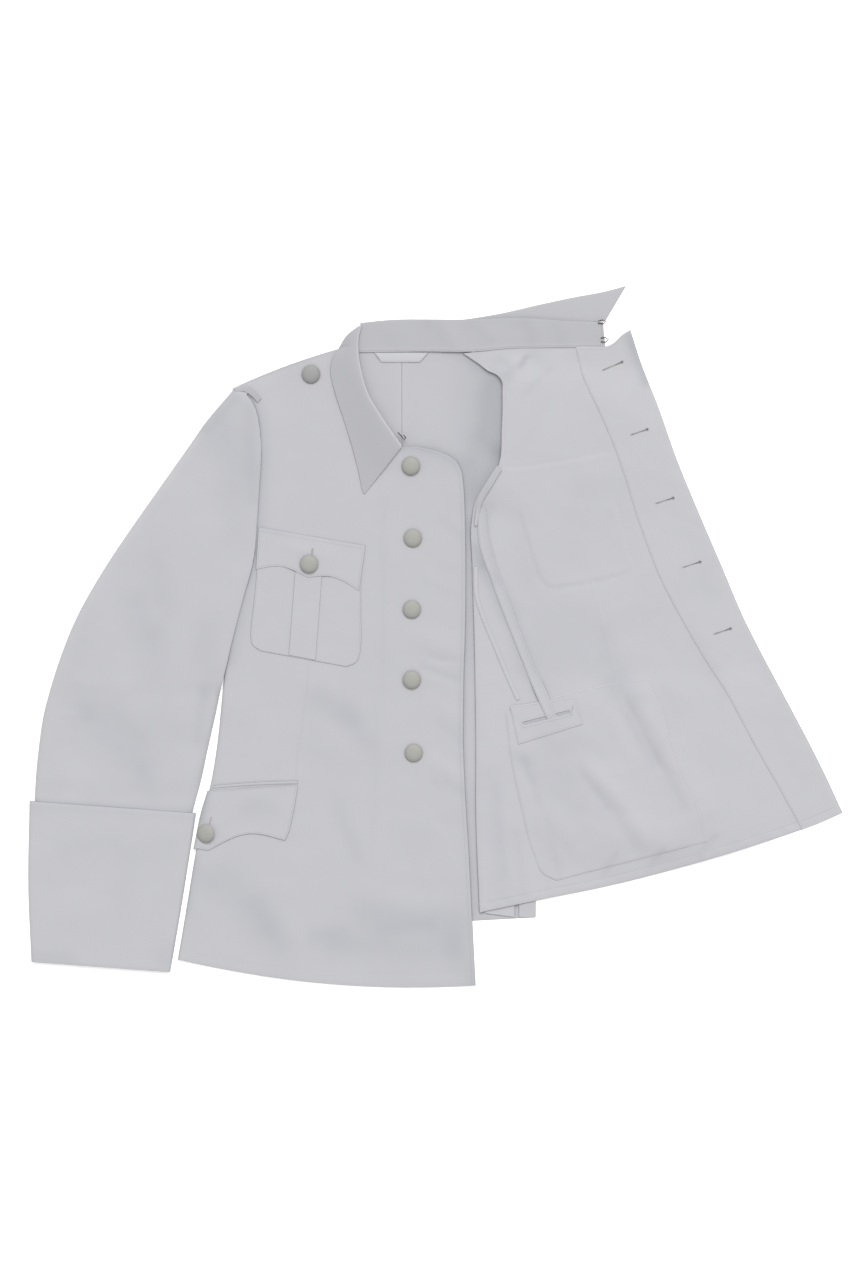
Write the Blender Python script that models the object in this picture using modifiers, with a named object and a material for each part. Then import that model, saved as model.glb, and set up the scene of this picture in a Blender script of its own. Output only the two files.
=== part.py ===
"""White cotton military tunic, laid flat on its back with its left front thrown open.

The garment lies in the XY plane with its collar toward +Y and its inside-out left front toward
+X. Every cut piece is a wall of cloth built between two edges that are given as short tables in
millimetres. The height of each piece follows what it lies on, plus a few soft folds.
"""
import math

import bmesh
import bpy
import numpy as np

# ---------------------------------------------------------------- sizes, in millimetres
MM = 0.001
CLOTH = 1.0                 # wall of one layer of cotton drill
GAP = 0.35                  # clearance between pieces that touch
LAP = CLOTH + GAP           # middle of one layer to the middle of the next
SEAM = 0.3                  # gap between two pieces that are sewn edge to edge
SOFT_LAP = 1.9              # middle to middle of pieces that lie on curved cloth
FLOOR_MID = 0.5             # middle of a layer that lies on the floor
SIDE_HEIGHT = 4.5           # middle of the front where it turns over the side fold
SIDE_ROUND = 4.0            # how far in the side fold takes to round over
TURN = 1.8                  # drop of the narrow turned edge along an armhole
STAND_Z = 2.1               # middle of the collar stand at the back of the neck
OPEN_NECK_Z = 3.4           # middle of the stand and the opened front at their seam
STAND_WALL = 1.4
CUFF_TOP = 7.2              # middle of the upper wall of the cuff
WIRE_RADIUS = 0.55

# edges: at = how far down the piece from 0 to 1, then x and y
FRONT_RIGHT_SIDE = [
    (0.000, -219, 267.5), (0.030, -201.5, 257), (0.065, -193.5, 236), (0.120, -190.5, 203),
    (0.180, -192.5, 164), (0.250, -195.5, 118), (0.300, -198, 87), (0.375, -210, 43),
    (0.450, -222, -3), (0.495, -226.8, -33), (0.530, -229.3, -58), (0.565, -231.5, -81),
    (0.610, -234.5, -110), (0.650, -238, -135),
    (0.690, -243, -162), (0.735, -250.7, -191), (0.795, -257.8, -229), (0.910, -270, -302),
    (1.000, -278, -349)]
FRONT_RIGHT_EDGE = [
    (0.000, -96, 312), (0.020, -96, 299), (0.045, -93, 278), (0.080, -84, 254),
    (0.115, -71, 231), (0.150, -55, 212), (0.175, -40, 205), (0.200, -17, 205),
    (0.215, -2, 202), (0.235, 15, 196), (0.250, 24, 189), (0.265, 28.5, 180),
    (0.285, 30.5, 168), (0.320, 32, 148), (0.385, 33, 105), (0.500, 33, 18),
    (0.600, 31, -57), (0.685, 31, -125), (0.745, 33, -171), (0.830, 37, -239),
    (0.930, 41, -319), (1.000, 44, -375)]
FRONT_LEFT_FOLD = [
    (0.000, 30, 306.5), (0.018, 47.5, 294.8), (0.030, 56, 288.2), (0.045, 67, 282.6),
    (0.057, 72, 276), (0.075, 72.6, 264),
    (0.130, 72, 226), (0.190, 68, 184), (0.225, 56, 168), (0.250, 45, 150),
    (0.290, 39, 122), (0.350, 40, 79), (0.500, 42.5, -10), (0.650, 44, -110),
    (0.800, 44, -190), (1.000, 48, -298)]
FRONT_LEFT_EDGE = [
    (0.000, 210, 329), (0.050, 221, 298), (0.130, 240, 249), (0.220, 261, 192),
    (0.310, 284, 136), (0.400, 308, 78), (0.490, 331, 22), (0.570, 351, -18),
    (0.650, 369, -46), (0.780, 402, -113), (0.890, 421, -151), (1.000, 439, -187)]
FRONT_LEFT_TOP = [
    (0.000, 30, 306.5), (0.150, 56, 308), (0.300, 81, 311), (0.470, 113, 311.8),
    (0.690, 159, 312.3), (0.830, 185, 312.6), (0.880, 193, 318), (0.940, 201, 324.5),
    (1.000, 210, 329)]
FRONT_LEFT_HEM = [
    (0.000, 48, -298), (0.140, 110, -285), (0.360, 195, -265), (0.530, 264, -246),
    (0.670, 319, -230), (0.800, 369, -213), (0.900, 408, -200), (1.000, 439, -187)]
BACK_LEFT_FOLD = [
    (0.000, 128, 278), (0.100, 134, 225), (0.200, 130, 180), (0.270, 126, 140),
    (0.310, 124, 116), (0.470, 119, 18), (0.700, 111, -133), (1.000, 109, -303)]
SLEEVE_OUTER = [
    (0.000, -220.5, 264), (0.050, -246, 234), (0.100, -263, 210), (0.180, -294, 166),
    (0.270, -325, 122), (0.350, -352, 82), (0.410, -371, 51), (0.480, -389, 17),
    (0.550, -405, -23), (0.610, -417, -61), (0.660, -424, -90), (0.700, -428, -119),
    (0.745, -431, -148), (0.790, -432.5, -176), (0.900, -433, -262), (1.000, -431, -344)]
SLEEVE_INNER = [
    (0.000, -204, 261.2), (0.020, -197, 253.5), (0.045, -192, 240), (0.100, -188, 203),
    (0.170, -190, 164),
    (0.250, -193, 118), (0.305, -195.5, 87), (0.385, -207, 43), (0.465, -219, -3),
    (0.515, -226.6, -36), (0.555, -232.3, -58), (0.600, -237.6, -84), (0.660, -246, -121),
    (0.715, -253, -154), (0.770, -262, -188), (0.855, -271, -241), (1.000, -288, -349)]
CUFF_LEFT = [(0.0, -438, -177), (0.5, -439.4, -266), (1.0, -436, -351)]
CUFF_RIGHT = [(0.0, -258, -190), (0.5, -271.5, -276), (1.0, -286, -362)]
LEAF_OUTER = [
    (0.000, -84, 335), (0.080, -96, 325), (0.160, -104.5, 311), (0.240, -111, 299),
    (0.310, -113, 287), (0.420, -108, 264), (0.560, -99, 236), (0.720, -89, 203),
    (0.860, -82, 175), (0.940, -79, 159), (1.000, -76.5, 154)]
LEAF_ROLL = [
    (0.000, -79, 337), (0.120, -82.5, 320), (0.220, -82, 304), (0.340, -79, 286),
    (0.480, -72, 263), (0.640, -58, 239), (0.800, -43, 217), (0.880, -37, 209),
    (1.000, -36, 205)]
NECK_SEAM = [
    (0.000, -93, 306), (0.200, -92.5, 283), (0.420, -83, 255), (0.640, -68.5, 230.5),
    (0.850, -54, 214), (1.000, -44, 208)]
STAND_ROLL = [
    (0.000, -85, 306), (0.200, -82, 287), (0.420, -74.7, 264.5), (0.640, -61.2, 241.3),
    (0.850, -47, 222), (1.000, -40.5, 214)]
STAND_TOP = [
    (0.000, -77, 338), (0.180, -40, 342.5), (0.430, 30, 343), (0.680, 100, 344.6),
    (0.830, 140, 341.8), (1.000, 181.5, 340.2)]
STAND_BOTTOM = [
    (0.000, -79, 307.2), (0.240, -11, 308.2), (0.460, 46, 308.6), (0.590, 80, 311.6),
    (0.720, 114, 312.8), (0.880, 159, 313.6), (1.000, 184, 314.6)]
LEAF_LEFT_OUTER = [
    (0.000, -76, 336), (0.300, -10, 342), (0.520, 41, 344.5), (0.600, 70, 348.5),
    (0.720, 114, 358.5), (0.840, 152, 366.5), (0.930, 184, 372.5), (1.000, 206, 378)]
LEAF_LEFT_INNER = [
    (0.000, -76, 310.5), (0.300, -10, 310.5), (0.520, 41, 314), (0.660, 86, 328),
    (0.800, 130, 338), (0.930, 164, 340), (1.000, 184, 341.5)]

# soft folds: from x, y, to x, y, half width and height (a trough is negative)
FRONT_RIGHT_FOLDS = [
    (-10, -2, 30, -20, 16, 1.3), (-6, -44, 32, -66, 16, 1.5), (-4, -24, 28, -40, 10, -0.7),
    (-125, -55, -85, -110, 26, 1.4), (-105, -240, -35, -330, 30, 1.5),
    (-215, -250, -160, -330, 26, 1.2), (-70, 20, -40, 90, 24, 0.9)]
FRONT_LEFT_RIDGES = [
    (218, -66, 290, -186, 17, 1.8), (168, -142, 247, -224, 17, 1.4),
    (126, 300, 96, 258, 17, 1.4), (336, -96, 372, -180, 22, 0.7),
    (240, 60, 286, -20, 24, 0.9), (98, -150, 130, -222, 18, 1.0)]
SLEEVE_FOLDS = [
    (-318, 62, -300, -45, 24, -1.4), (-374, -52, -316, -130, 22, -1.2),
    (-252, 5, -256, -85, 18, -1.0), (-345, 20, -372, -46, 22, 1.0)]
# what the opened front lies on: from x, y, to x, y, half width and height of its top
UNDER_OPEN_FRONT = [
    (102, 218, 175, 196, 50, 6.7), (182, 165, 200, 105, 66, 5.9), (207, 100, 228, -132, 75, 4.9)]
CUFF_LUMP = (232, -138, 76, 62, 7.2)       # centre x, y, half sizes and height
Z_FOLD_HEIGHT = 2.85
UNDER_START = 0.025         # how far down the sleeve its hidden side starts
BLEND = 75.0                # distance over which cloth comes down beside what it lies on


# ---------------------------------------------------------------- shape functions
def column(table, index):
    """One named column of a table as an array."""
    return np.array([row[index] for row in table], float)


def smooth(value):
    """Rises from 0 to 1 with level ends."""
    value = np.clip(value, 0.0, 1.0)
    return value * value * (3.0 - 2.0 * value)


def rounded(value):
    """A quarter circle: 0 at the edge, 1 from the end of the rounding on."""
    value = np.clip(value, 0.0, 1.0)
    return np.sqrt(np.maximum(0.0, 1.0 - (1.0 - value) ** 2))


def through(table, at, index):
    """Smooth curve through a table's rows: cubic between rows, slopes from the neighbours."""
    knots = column(table, 0)
    values = column(table, index)
    slopes = np.gradient(values, knots)
    at = np.clip(np.asarray(at, float), knots[0], knots[-1])
    k = np.clip(np.searchsorted(knots, at, side="right") - 1, 0, len(knots) - 2)
    step = knots[k + 1] - knots[k]
    t = (at - knots[k]) / step
    rise = (2 * t ** 3 - 3 * t ** 2 + 1) * values[k] + (3 * t ** 2 - 2 * t ** 3) * values[k + 1]
    lean = (t ** 3 - 2 * t ** 2 + t) * slopes[k] + (t ** 3 - t ** 2) * slopes[k + 1]
    return rise + lean * step


def straight(table, at, index):
    """Straight runs through a table's rows."""
    return np.interp(at, column(table, 0), column(table, index))


def along(table, at):
    """Points of an edge at the given places."""
    return np.stack([through(table, at, 1), through(table, at, 2)], axis=-1)


def line_distance(x, y, points):
    """Distance from each place to an open line of points."""
    best = np.full(np.shape(x), 1e9)
    for start, end in zip(points[:-1], points[1:]):
        run = end - start
        share = ((x - start[0]) * run[0] + (y - start[1]) * run[1]) / (run @ run)
        share = np.clip(share, 0.0, 1.0)
        off = np.hypot(x - start[0] - share * run[0], y - start[1] - share * run[1])
        best = np.minimum(best, off)
    return best


def edge_distance(x, y, table, count=60):
    """Distance from each place to a table's smooth edge."""
    return line_distance(x, y, along(table, np.linspace(table[0][0], table[-1][0], count)))


def soft_folds(x, y, folds):
    """Sum of soft ridges: each is a bell across its line that fades past its ends."""
    total = np.zeros(np.shape(x))
    for x0, y0, x1, y1, half_width, height in folds:
        ends = np.array([(x0, y0), (x1, y1)], float)
        total = total + height * np.exp(-(line_distance(x, y, ends) / half_width) ** 2)
    return total


def between(left, right, across, bow_top=0.0, bow_foot=0.0):
    """Rows of points from a left edge to a right edge, bowed in Y toward the two ends.

    The shares across are one row for all, or a row for each row of points.
    """
    spread = np.broadcast_to(across, (len(left), np.shape(across)[-1]))
    points = left[:, None] * (1.0 - spread[:, :, None]) + right[:, None] * spread[:, :, None]
    down = np.linspace(0.0, 1.0, len(left))[:, None]
    points[:, :, 1] += (bow_top * (1.0 - down) + bow_foot * down) * 4.0 * spread * (1.0 - spread)
    return points


# ---------------------------------------------------------------- heights of the big pieces
def front_right_height(x, y):
    """Middle of the right front: high at the side fold and front edge, low at the shoulder."""
    side = smooth(edge_distance(x, y, FRONT_RIGHT_SIDE) / 48.0)
    edge = 1.0 - smooth(edge_distance(x, y, FRONT_RIGHT_EDGE) / 34.0)
    folds = soft_folds(x, y, FRONT_RIGHT_FOLDS)
    field = 2.5 + 1.6 * edge + folds * (1.0 - 0.6 * edge)
    height = SIDE_HEIGHT + (field - SIDE_HEIGHT) * side
    shoulder = np.array([(-222, 268), (-96, 314)], float)
    return 1.7 + (height - 1.7) * rounded(line_distance(x, y, shoulder) / 16.0)


def open_front_height(x, y):
    """Middle of the opened left front: over the fold, the hidden sleeve and its cuff."""
    lifts = [Z_FOLD_HEIGHT * smooth(1.0 - (x - 128.0) / BLEND)]
    for x0, y0, x1, y1, half_width, height in UNDER_OPEN_FRONT:
        ends = np.array([(x0, y0), (x1, y1)], float)
        outside = line_distance(x, y, ends) - half_width - 2.0
        lifts.append(height * smooth(1.0 - outside / (BLEND - 6.0)))
    cx, cy, half_x, half_y, height = CUFF_LUMP
    outside = np.hypot(np.maximum(abs(x - cx) - half_x, 0), np.maximum(abs(y - cy) - half_y, 0))
    lifts.append(height * smooth(1.0 - (outside - 2.0) / BLEND))
    lift = sum(part ** 5 for part in lifts) ** 0.2
    lift = lift + soft_folds(x, y, FRONT_LEFT_RIDGES) * smooth(lift / 3.0)
    armhole = line_distance(x, y, np.array([(71, 280), (72, 226), (68, 188)], float))
    lift = lift + (7.0 - np.minimum(lift, 7.0)) * (1.0 - smooth(armhole / 40.0))
    neck = smooth(edge_distance(x, y, FRONT_LEFT_TOP) / 38.0)
    return OPEN_NECK_Z + (0.9 + lift - OPEN_NECK_Z) * neck


def stand_height(x, y):
    """Middle of the open collar stand: a little higher where the opened front joins it."""
    rise = np.broadcast_to(smooth((x + 30.0) / 50.0), np.shape(y))
    return STAND_Z + (OPEN_NECK_Z - STAND_Z) * rise


def sleeve_height(x, y):
    """Middle of the top sleeve: full down its length, round at both edges."""
    outer = edge_distance(x, y, SLEEVE_OUTER)
    inner = edge_distance(x, y, SLEEVE_INNER)
    full = 6.6 + soft_folds(x, y, SLEEVE_FOLDS)
    in_cuff = smooth((-148.0 - y) / 26.0)
    full = full + (5.7 - full) * in_cuff
    floor = 0.9 + 1.5 * in_cuff
    on_body = smooth((y + 66.0) / 20.0)
    inner_edge = floor + (6.1 - floor) * on_body
    height = inner_edge + (full + 0.8 * on_body - inner_edge) * rounded(inner / 11.0)
    return floor + (height - floor) * rounded(outer / 9.0)


# ---------------------------------------------------------------- mesh helpers
def material(name, color, roughness, metallic=0.0):
    """A plain Principled material."""
    made = bpy.data.materials.new(name)
    made.use_nodes = True
    shader = made.node_tree.nodes["Principled BSDF"]
    shader.inputs["Base Color"].default_value = (*color, 1.0)
    shader.inputs["Roughness"].default_value = roughness
    shader.inputs["Metallic"].default_value = metallic
    made.diffuse_color = (*color, 1.0)
    return made


def add_object(name, mesh, finish, collection):
    """A smooth-shaded object in the tunic's collection."""
    made = bpy.data.objects.new(name, mesh)
    mesh.materials.append(finish)
    mesh.shade_smooth()
    collection.objects.link(made)
    return made


def sheet(name, points, finish, collection, wall=CLOTH, closed=False, skip=()):
    """A wall of cloth round a grid of middle points, rows by columns by x, y, z."""
    rows, columns, _ = points.shape
    mesh = bpy.data.meshes.new(name)
    spans = columns if closed else columns - 1
    faces = []
    for row in range(rows - 1):
        for col in range(spans):
            if (row, col) in skip:
                continue
            a = row * columns + col
            b = row * columns + (col + 1) % columns
            faces.append((a, b, b + columns, a + columns))
    mesh.from_pydata((points.reshape(-1, 3) * MM).tolist(), [], faces)
    mesh.validate()
    made = add_object(name, mesh, finish, collection)
    solidify = made.modifiers.new("cloth", "SOLIDIFY")
    solidify.thickness = wall * MM
    solidify.offset = 0.0
    solidify.use_even_offset = False
    return made


def with_height(points, height, lift=0.0):
    """Adds the third column to a grid of places."""
    x = points[:, :, 0]
    y = points[:, :, 1]
    return np.stack([x, y, height(x, y) + lift], axis=-1)


class FoldedPanel:
    """A big piece whose fold edge turns over into a strip on its other side."""

    def __init__(self, fold, far, height, strip, reach, bow=(0.0, 0.0), fall=0.0, top=None,
                 foot=None):
        self.fold = fold            # table of the fold's outline
        self.far = far              # table of the opposite edge
        self.height = height        # middle height of the face
        self.strip = strip          # at, width, height of the strip (None: just turned under)
        self.reach = reach          # how far in the fold takes to round over
        self.bow = bow
        self.fall = fall            # rise of the strip's lines per millimetre, at the foot
        self.top = top
        self.foot = foot

    def rows(self, down):
        """Fold points, the way in from them, far points and the strip's own values."""
        fold = along(self.fold, down)
        far = along(self.far, down)
        inward = far - fold
        inward = inward / np.linalg.norm(inward, axis=1)[:, None]
        width = straight(self.strip, down, 1)
        top = self.height(*(fold + inward * (self.reach + 0.5)).T)
        low = straight(self.strip, down, 2)
        turned = straight(self.strip, down, 3)
        low = np.maximum(low, low * (1.0 - turned) + (top - TURN) * turned)
        return fold, inward, far, width, top, low

    def face(self, down, across):
        """Places on the face, from the end of the rounding to the far edge."""
        fold, inward, far, _, _, _ = self.rows(down)
        start = fold + inward * (self.round_reach(down)[:, None] + CLOTH / 2)
        points = between(start, far, across)
        spread = np.broadcast_to(across, points.shape[:2])
        down = down[:, None]
        bow = self.bow[0] * (1.0 - down) + self.bow[1] * down
        points[:, :, 1] += bow * 4.0 * spread * (1.0 - spread)
        if self.top is not None:
            ends = self.straight_ends()
            head = along(self.top, spread) - ends[0] - (ends[1] - ends[0]) * spread[:, :, None]
            hem = along(self.foot, spread) - ends[2] - (ends[3] - ends[2]) * spread[:, :, None]
            points = points + head * (1.0 - down[:, :, None]) ** 4 + hem * down[:, :, None] ** 3
        return points

    def straight_ends(self):
        """Where the face's first and last rows would start and end if they were straight."""
        ends = np.array([0.0, 1.0])
        fold, inward, far, _, _, _ = self.rows(ends)
        start = fold + inward * (self.round_reach(ends)[:, None] + CLOTH / 2)
        return start[0], far[0], start[1], far[1]

    def round_reach(self, down):
        """Horizontal size of the rounding: short where the edge is only turned under."""
        turned = straight(self.strip, down, 3)
        return self.reach * (1.0 - turned) + (TURN / 2) * turned

    def way(self, down, inward):
        """Direction in which the strip runs on each row."""
        level = np.sign(inward[:, :1]) * np.array([[1.0, 0.0]])
        level[:, 1] = self.fall * down
        return level

    def grid(self, down, across, strip_steps=(1.0, 0.5), angles=(-90, -45, 0, 45)):
        """The whole piece: strip, rounding, then face."""
        fold, inward, _, width, top, low = self.rows(down)
        reach = self.round_reach(down)
        face = with_height(self.face(down, across), self.height)
        top = face[:, 0, 2]
        half = (top - low) / 2
        columns = []
        level = self.way(down, inward)
        for share in strip_steps:
            place = fold + inward * (CLOTH / 2) + level * (width * share)[:, None]
            columns.append(np.column_stack([place, low]))
        for angle in angles:
            turn = math.radians(angle)
            out = reach * (1.0 - math.cos(turn)) + CLOTH / 2
            place = fold + inward * out[:, None]
            columns.append(np.column_stack([place, (top + low) / 2 + half * math.sin(turn)]))
        return np.concatenate([np.stack(columns, axis=1), face], axis=1)

    def strip_end(self, down, beyond):
        """Places just past the end of the strip."""
        fold, inward, _, width, _, _ = self.rows(down)
        level = self.way(down, inward)
        return fold + inward * (CLOTH / 2) + level * (width + beyond)[:, None]


# strip: at, width, height, turned (1 where the edge is only turned under)
FRONT_RIGHT = FoldedPanel(
    FRONT_RIGHT_SIDE, FRONT_RIGHT_EDGE, front_right_height,
    [(0.0, 4.5, 0.5, 1.0), (0.22, 4.5, 0.5, 1.0), (0.29, 24, 0.5, 0.0), (0.36, 46, 0.5, 0.0),
     (0.55, 70, 0.5, 0.0), (0.64, 80, 0.6, 0.0), (0.69, 86, 1.95, 0.0), (0.80, 90, 1.95, 0.0),
     (0.85, 91, 0.6, 0.0), (1.0, 92, 0.5, 0.0)],
    SIDE_ROUND, bow=(2.0, -11.0), fall=0.1)
FRONT_LEFT = FoldedPanel(
    FRONT_LEFT_FOLD, FRONT_LEFT_EDGE, open_front_height,
    [(0.0, 4.5, 1.9, 1.0), (0.20, 4.5, 1.9, 1.0), (0.25, 36, 1.9, 0.0), (0.30, 54, 1.9, 0.0),
     (0.60, 45, 1.9, 0.0), (1.0, 38, 1.9, 0.0)],
    1.2, fall=-0.13, top=FRONT_LEFT_TOP, foot=FRONT_LEFT_HEM)


def flat_height(x, y):
    """Cloth that lies on the floor."""
    return np.full(np.shape(x), FLOOR_MID)


BACK_LEFT = FoldedPanel(
    BACK_LEFT_FOLD, [(0.0, -35.8, 308), (1.0, -35.8, -311)], flat_height,
    [(0.0, 4.5, 2.0, 0.0), (0.24, 4.5, 2.0, 0.0), (0.30, 18, 2.0, 0.0), (1.0, 18, 2.0, 0.0)],
    1.0, bow=(12.0, 0.0))


def scallop(place, depth):
    """Lower edge of a pocket flap above its corner line: two hollows and a point between."""
    wave = np.abs(np.sin(2.0 * math.pi * place))
    return 12.0 * place * (1.0 - place) + depth * wave ** 1.2


# ---------------------------------------------------------------- big pieces
def spaced(start, end, count):
    """Even places from start to end."""
    return np.linspace(start, end, count)


FRONT_LEFT_ROWS = np.concatenate([
    [0.0, 0.02, 0.04, 0.07], spaced(0.10, 0.20, 4), [0.225, 0.25, 0.275], spaced(0.30, 1.0, 21)])


def build_fronts(cloth, collection):
    """Both fronts, each with its fold and the strip beyond it."""
    down = np.concatenate([
        [0.0, 0.012, 0.03, 0.05], spaced(0.08, 0.175, 4), [0.2, 0.222, 0.245, 0.268, 0.29],
        spaced(0.32, 1.0, 21)])
    across = np.concatenate([[0.0, 0.02, 0.05, 0.10], spaced(0.16, 0.94, 13), [0.975, 1.0]])
    sheet("front_right", FRONT_RIGHT.grid(down, across), cloth, collection)
    across = np.concatenate([[0.0, 0.012, 0.04], spaced(0.08, 1.0, 20)])
    sheet("front_left", FRONT_LEFT.grid(FRONT_LEFT_ROWS, across), cloth, collection)


def build_back(cloth, collection):
    """Two flat halves with a centre-back seam; the left one turns up beside the fold."""
    down = spaced(0.0, 1.0, 31)
    seam = np.column_stack([np.full(31, -35.8 - SEAM), 308.0 - 619.0 * down])
    side = FRONT_RIGHT.strip_end(down, CLOTH)
    places = between(side, seam, spaced(0.0, 1.0, 4), bow_top=12.0)
    sheet("back_right", with_height(places, flat_height), cloth, collection)
    grid = BACK_LEFT.grid(spaced(0.0, 1.0, 17), spaced(0.0, 1.0, 4), strip_steps=(1.0,))
    sheet("back_left", grid, cloth, collection)


def build_right_sleeve(cloth, collection):
    """Top and under sleeve, and the cuff turned back round their end."""
    down = np.concatenate([[0.0, 0.02, 0.045], spaced(0.08, 1.0, 26)])
    across = np.array([0.0, 0.008, 0.022, 0.045, 0.08, 0.17, 0.29, 0.41, 0.53, 0.65, 0.77,
                       0.88, 0.945, 0.975, 0.991, 1.0])
    outer = along(SLEEVE_OUTER, down)
    inner = along(SLEEVE_INNER, down)
    places = between(outer + (0.5, 0.0), inner, across)
    top = with_height(places, sleeve_height)
    sheet("sleeve_right_top", top, cloth, collection)

    down = spaced(UNDER_START, 1.0, 24)
    outer = along(SLEEVE_OUTER, down) + (2.4, 0.0)
    inner = along(SLEEVE_INNER, down) - (4.4, 0.0)
    places = between(outer, inner, spaced(0.0, 1.0, 4))
    sheet("sleeve_right_under", with_height(places, under_sleeve_height), cloth, collection)

    down = spaced(0.0, 1.0, 8)
    left = along(CUFF_LEFT, down)
    right = along(CUFF_RIGHT, down)
    ring = [(0.03, 1.0), (0.10, 1.0), (0.22, 1.03), (0.36, 1.05), (0.5, 1.05), (0.64, 1.05),
            (0.78, 1.03), (0.90, 1.0), (0.97, 1.0), (0.993, 0.85), (1.0, 0.5), (0.993, 0.15),
            (0.97, 0.0), (0.7, 0.0), (0.3, 0.0), (0.03, 0.0), (0.007, 0.15), (0.0, 0.5),
            (0.007, 0.85)]
    share = np.array([place for place, _ in ring])
    level = np.array([height for _, height in ring])
    places = between(left + (0.5, 0), right - (0.5, 0), share)
    z = np.broadcast_to(FLOOR_MID + (CUFF_TOP - FLOOR_MID) * level, places.shape[:2])
    sheet("cuff_right", np.dstack([places, z])[:, ::-1], cloth, collection, closed=True)


def under_sleeve_height(x, y):
    """Flat on the floor, then up on the lower wall of the cuff."""
    return FLOOR_MID + 1.45 * smooth((-146.0 - y) / 26.0)


HIDDEN_SLEEVE = [
    # left x, y, right x, y, bottom, top
    (84, 180, 120, 258, 2.95, 5.4), (86, 178, 124, 257, 2.95, 6.2),
    (112, 162, 178, 243, 2.95, 6.2), (138, 142, 222, 205, 2.6, 5.5),
    (146, 100, 255, 150, 0.0, 4.5), (150, 50, 284, 84, 0.0, 4.5), (153, -19, 297, -31, 0.0, 4.5),
    (155, -62, 302, -70, 0.0, 4.6), (158, -80, 305, -88, 0.0, 6.7),
    (160, -140, 307, -148, 0.0, 6.8), (162, -192, 308, -197, 0.0, 6.4),
    (166, -201, 304, -206, 0.0, 4.6)]
LAYERED_SECTION = [
    # share across, share of the height: each side bulges twice, once for each layer
    (0.02, 0.0), (0.5, 0.0), (0.98, 0.0), (1.0, 0.25), (0.985, 0.5), (1.0, 0.76), (0.97, 1.0),
    (0.75, 1.0), (0.5, 1.0), (0.25, 1.0), (0.03, 1.0), (0.0, 0.76), (0.015, 0.5), (0.0, 0.25)]


def build_left_sleeve(cloth, collection):
    """The left sleeve and cuff, folded once under the opened front, as one layered solid."""
    rings = []
    for left_x, left_y, right_x, right_y, bottom, top in HIDDEN_SLEEVE:
        for share, level in LAYERED_SECTION:
            x = left_x + (right_x - left_x) * share
            y = left_y + (right_y - left_y) * share
            rings.append((x * MM, y * MM, (bottom + (top - bottom) * level) * MM))
    count = len(LAYERED_SECTION)
    faces = [tuple(range(count))]
    for ring in range(len(HIDDEN_SLEEVE) - 1):
        for side in range(count):
            a = ring * count + side
            b = ring * count + (side + 1) % count
            faces.append((a, a + count, b + count, b))
    last = (len(HIDDEN_SLEEVE) - 1) * count
    faces.append(tuple(range(last + count - 1, last - 1, -1)))
    mesh = bpy.data.meshes.new("sleeve_left")
    mesh.from_pydata(rings, [], faces)
    bm = bmesh.new()
    bm.from_mesh(mesh)
    bmesh.ops.recalc_face_normals(bm, faces=bm.faces)
    bm.to_mesh(mesh)
    bm.free()
    add_object("sleeve_left", mesh, cloth, collection)


# ---------------------------------------------------------------- collar
LEAF_ROLL_HEIGHT = [(0.0, 5.4), (0.12, 6.2), (0.34, 8.6), (0.64, 9.4), (0.88, 8.4), (1.0, 7.6)]


def build_collar(cloth, collection):
    """Stand and leaf: turned down on the right, opened flat on the left."""
    at = spaced(0.0, 1.0, 17)
    across = spaced(0.0, 1.0, 3)
    places = between(along(STAND_TOP, at) + (-3.5, 0) * (1 - at)[:, None],
                     along(STAND_BOTTOM, at) + (-6.0, 0) * ((1 - at) ** 4)[:, None], across)
    sheet("collar_stand_left", with_height(places, stand_height), cloth, collection, wall=STAND_WALL)
    places = between(along(LEAF_LEFT_OUTER, at), along(LEAF_LEFT_INNER, at), across)
    sheet("collar_leaf_left", with_height(places, flat_height), cloth, collection)

    at = spaced(0.0, 1.0, 13)
    roll_height = through(LEAF_ROLL_HEIGHT, at, 1)[:, None]
    places = between(along(NECK_SEAM, at), along(STAND_ROLL, at), across)
    foot = front_right_height(places[:, :, 0], places[:, :, 1])[:, :1]
    foot = np.minimum(foot, roll_height - 2.8)
    z = foot + (roll_height - 2.0 - foot) * across[None, :]
    sheet("collar_stand_right", np.dstack([places, z]), cloth, collection, wall=STAND_WALL)

    at = spaced(0.0, 1.0, 19)
    roll_height = through(LEAF_ROLL_HEIGHT, at, 1)[:, None]
    outer = along(LEAF_OUTER, at)
    roll = along(LEAF_ROLL, at)
    width = np.linalg.norm(roll - outer, axis=1)[:, None]
    share = np.array([0.0, 0.12, 0.3, 0.5, 0.7, 0.86])
    inset = np.array([1.7, 0.9, 0.45])
    share = np.concatenate([np.broadcast_to(share, (len(at), 6)) * (1 - 1.7 / width),
                            1.0 - np.broadcast_to(inset, (len(at), 3)) / width], axis=1)
    places = outer[:, None] * (1 - share)[:, :, None] + roll[:, None] * share[:, :, None]
    lying = front_right_height(places[:, :, 0], places[:, :, 1]) + 1.6
    rise = smooth(share * 0.75 + 0.25 * share ** 2)
    z = lying + (roll_height - lying) * rise
    z[:, -2] -= 0.45
    z[:, -1] -= 1.35
    sheet("collar_leaf_right", np.dstack([places, z]), cloth, collection)


# ---------------------------------------------------------------- small cloth pieces
def patch(name, left, right, counts, height, lift, cloth, collection, bows=(0.0, 0.0)):
    """A piece that lies on cloth: rows between two short tables, moved out from it."""
    down = spaced(0.0, 1.0, counts[0])
    across = spaced(0.0, 1.0, counts[1])
    places = between(along(left, down), along(right, down), across, *bows)
    return sheet(name, with_height(places, height, lift), cloth, collection)


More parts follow.
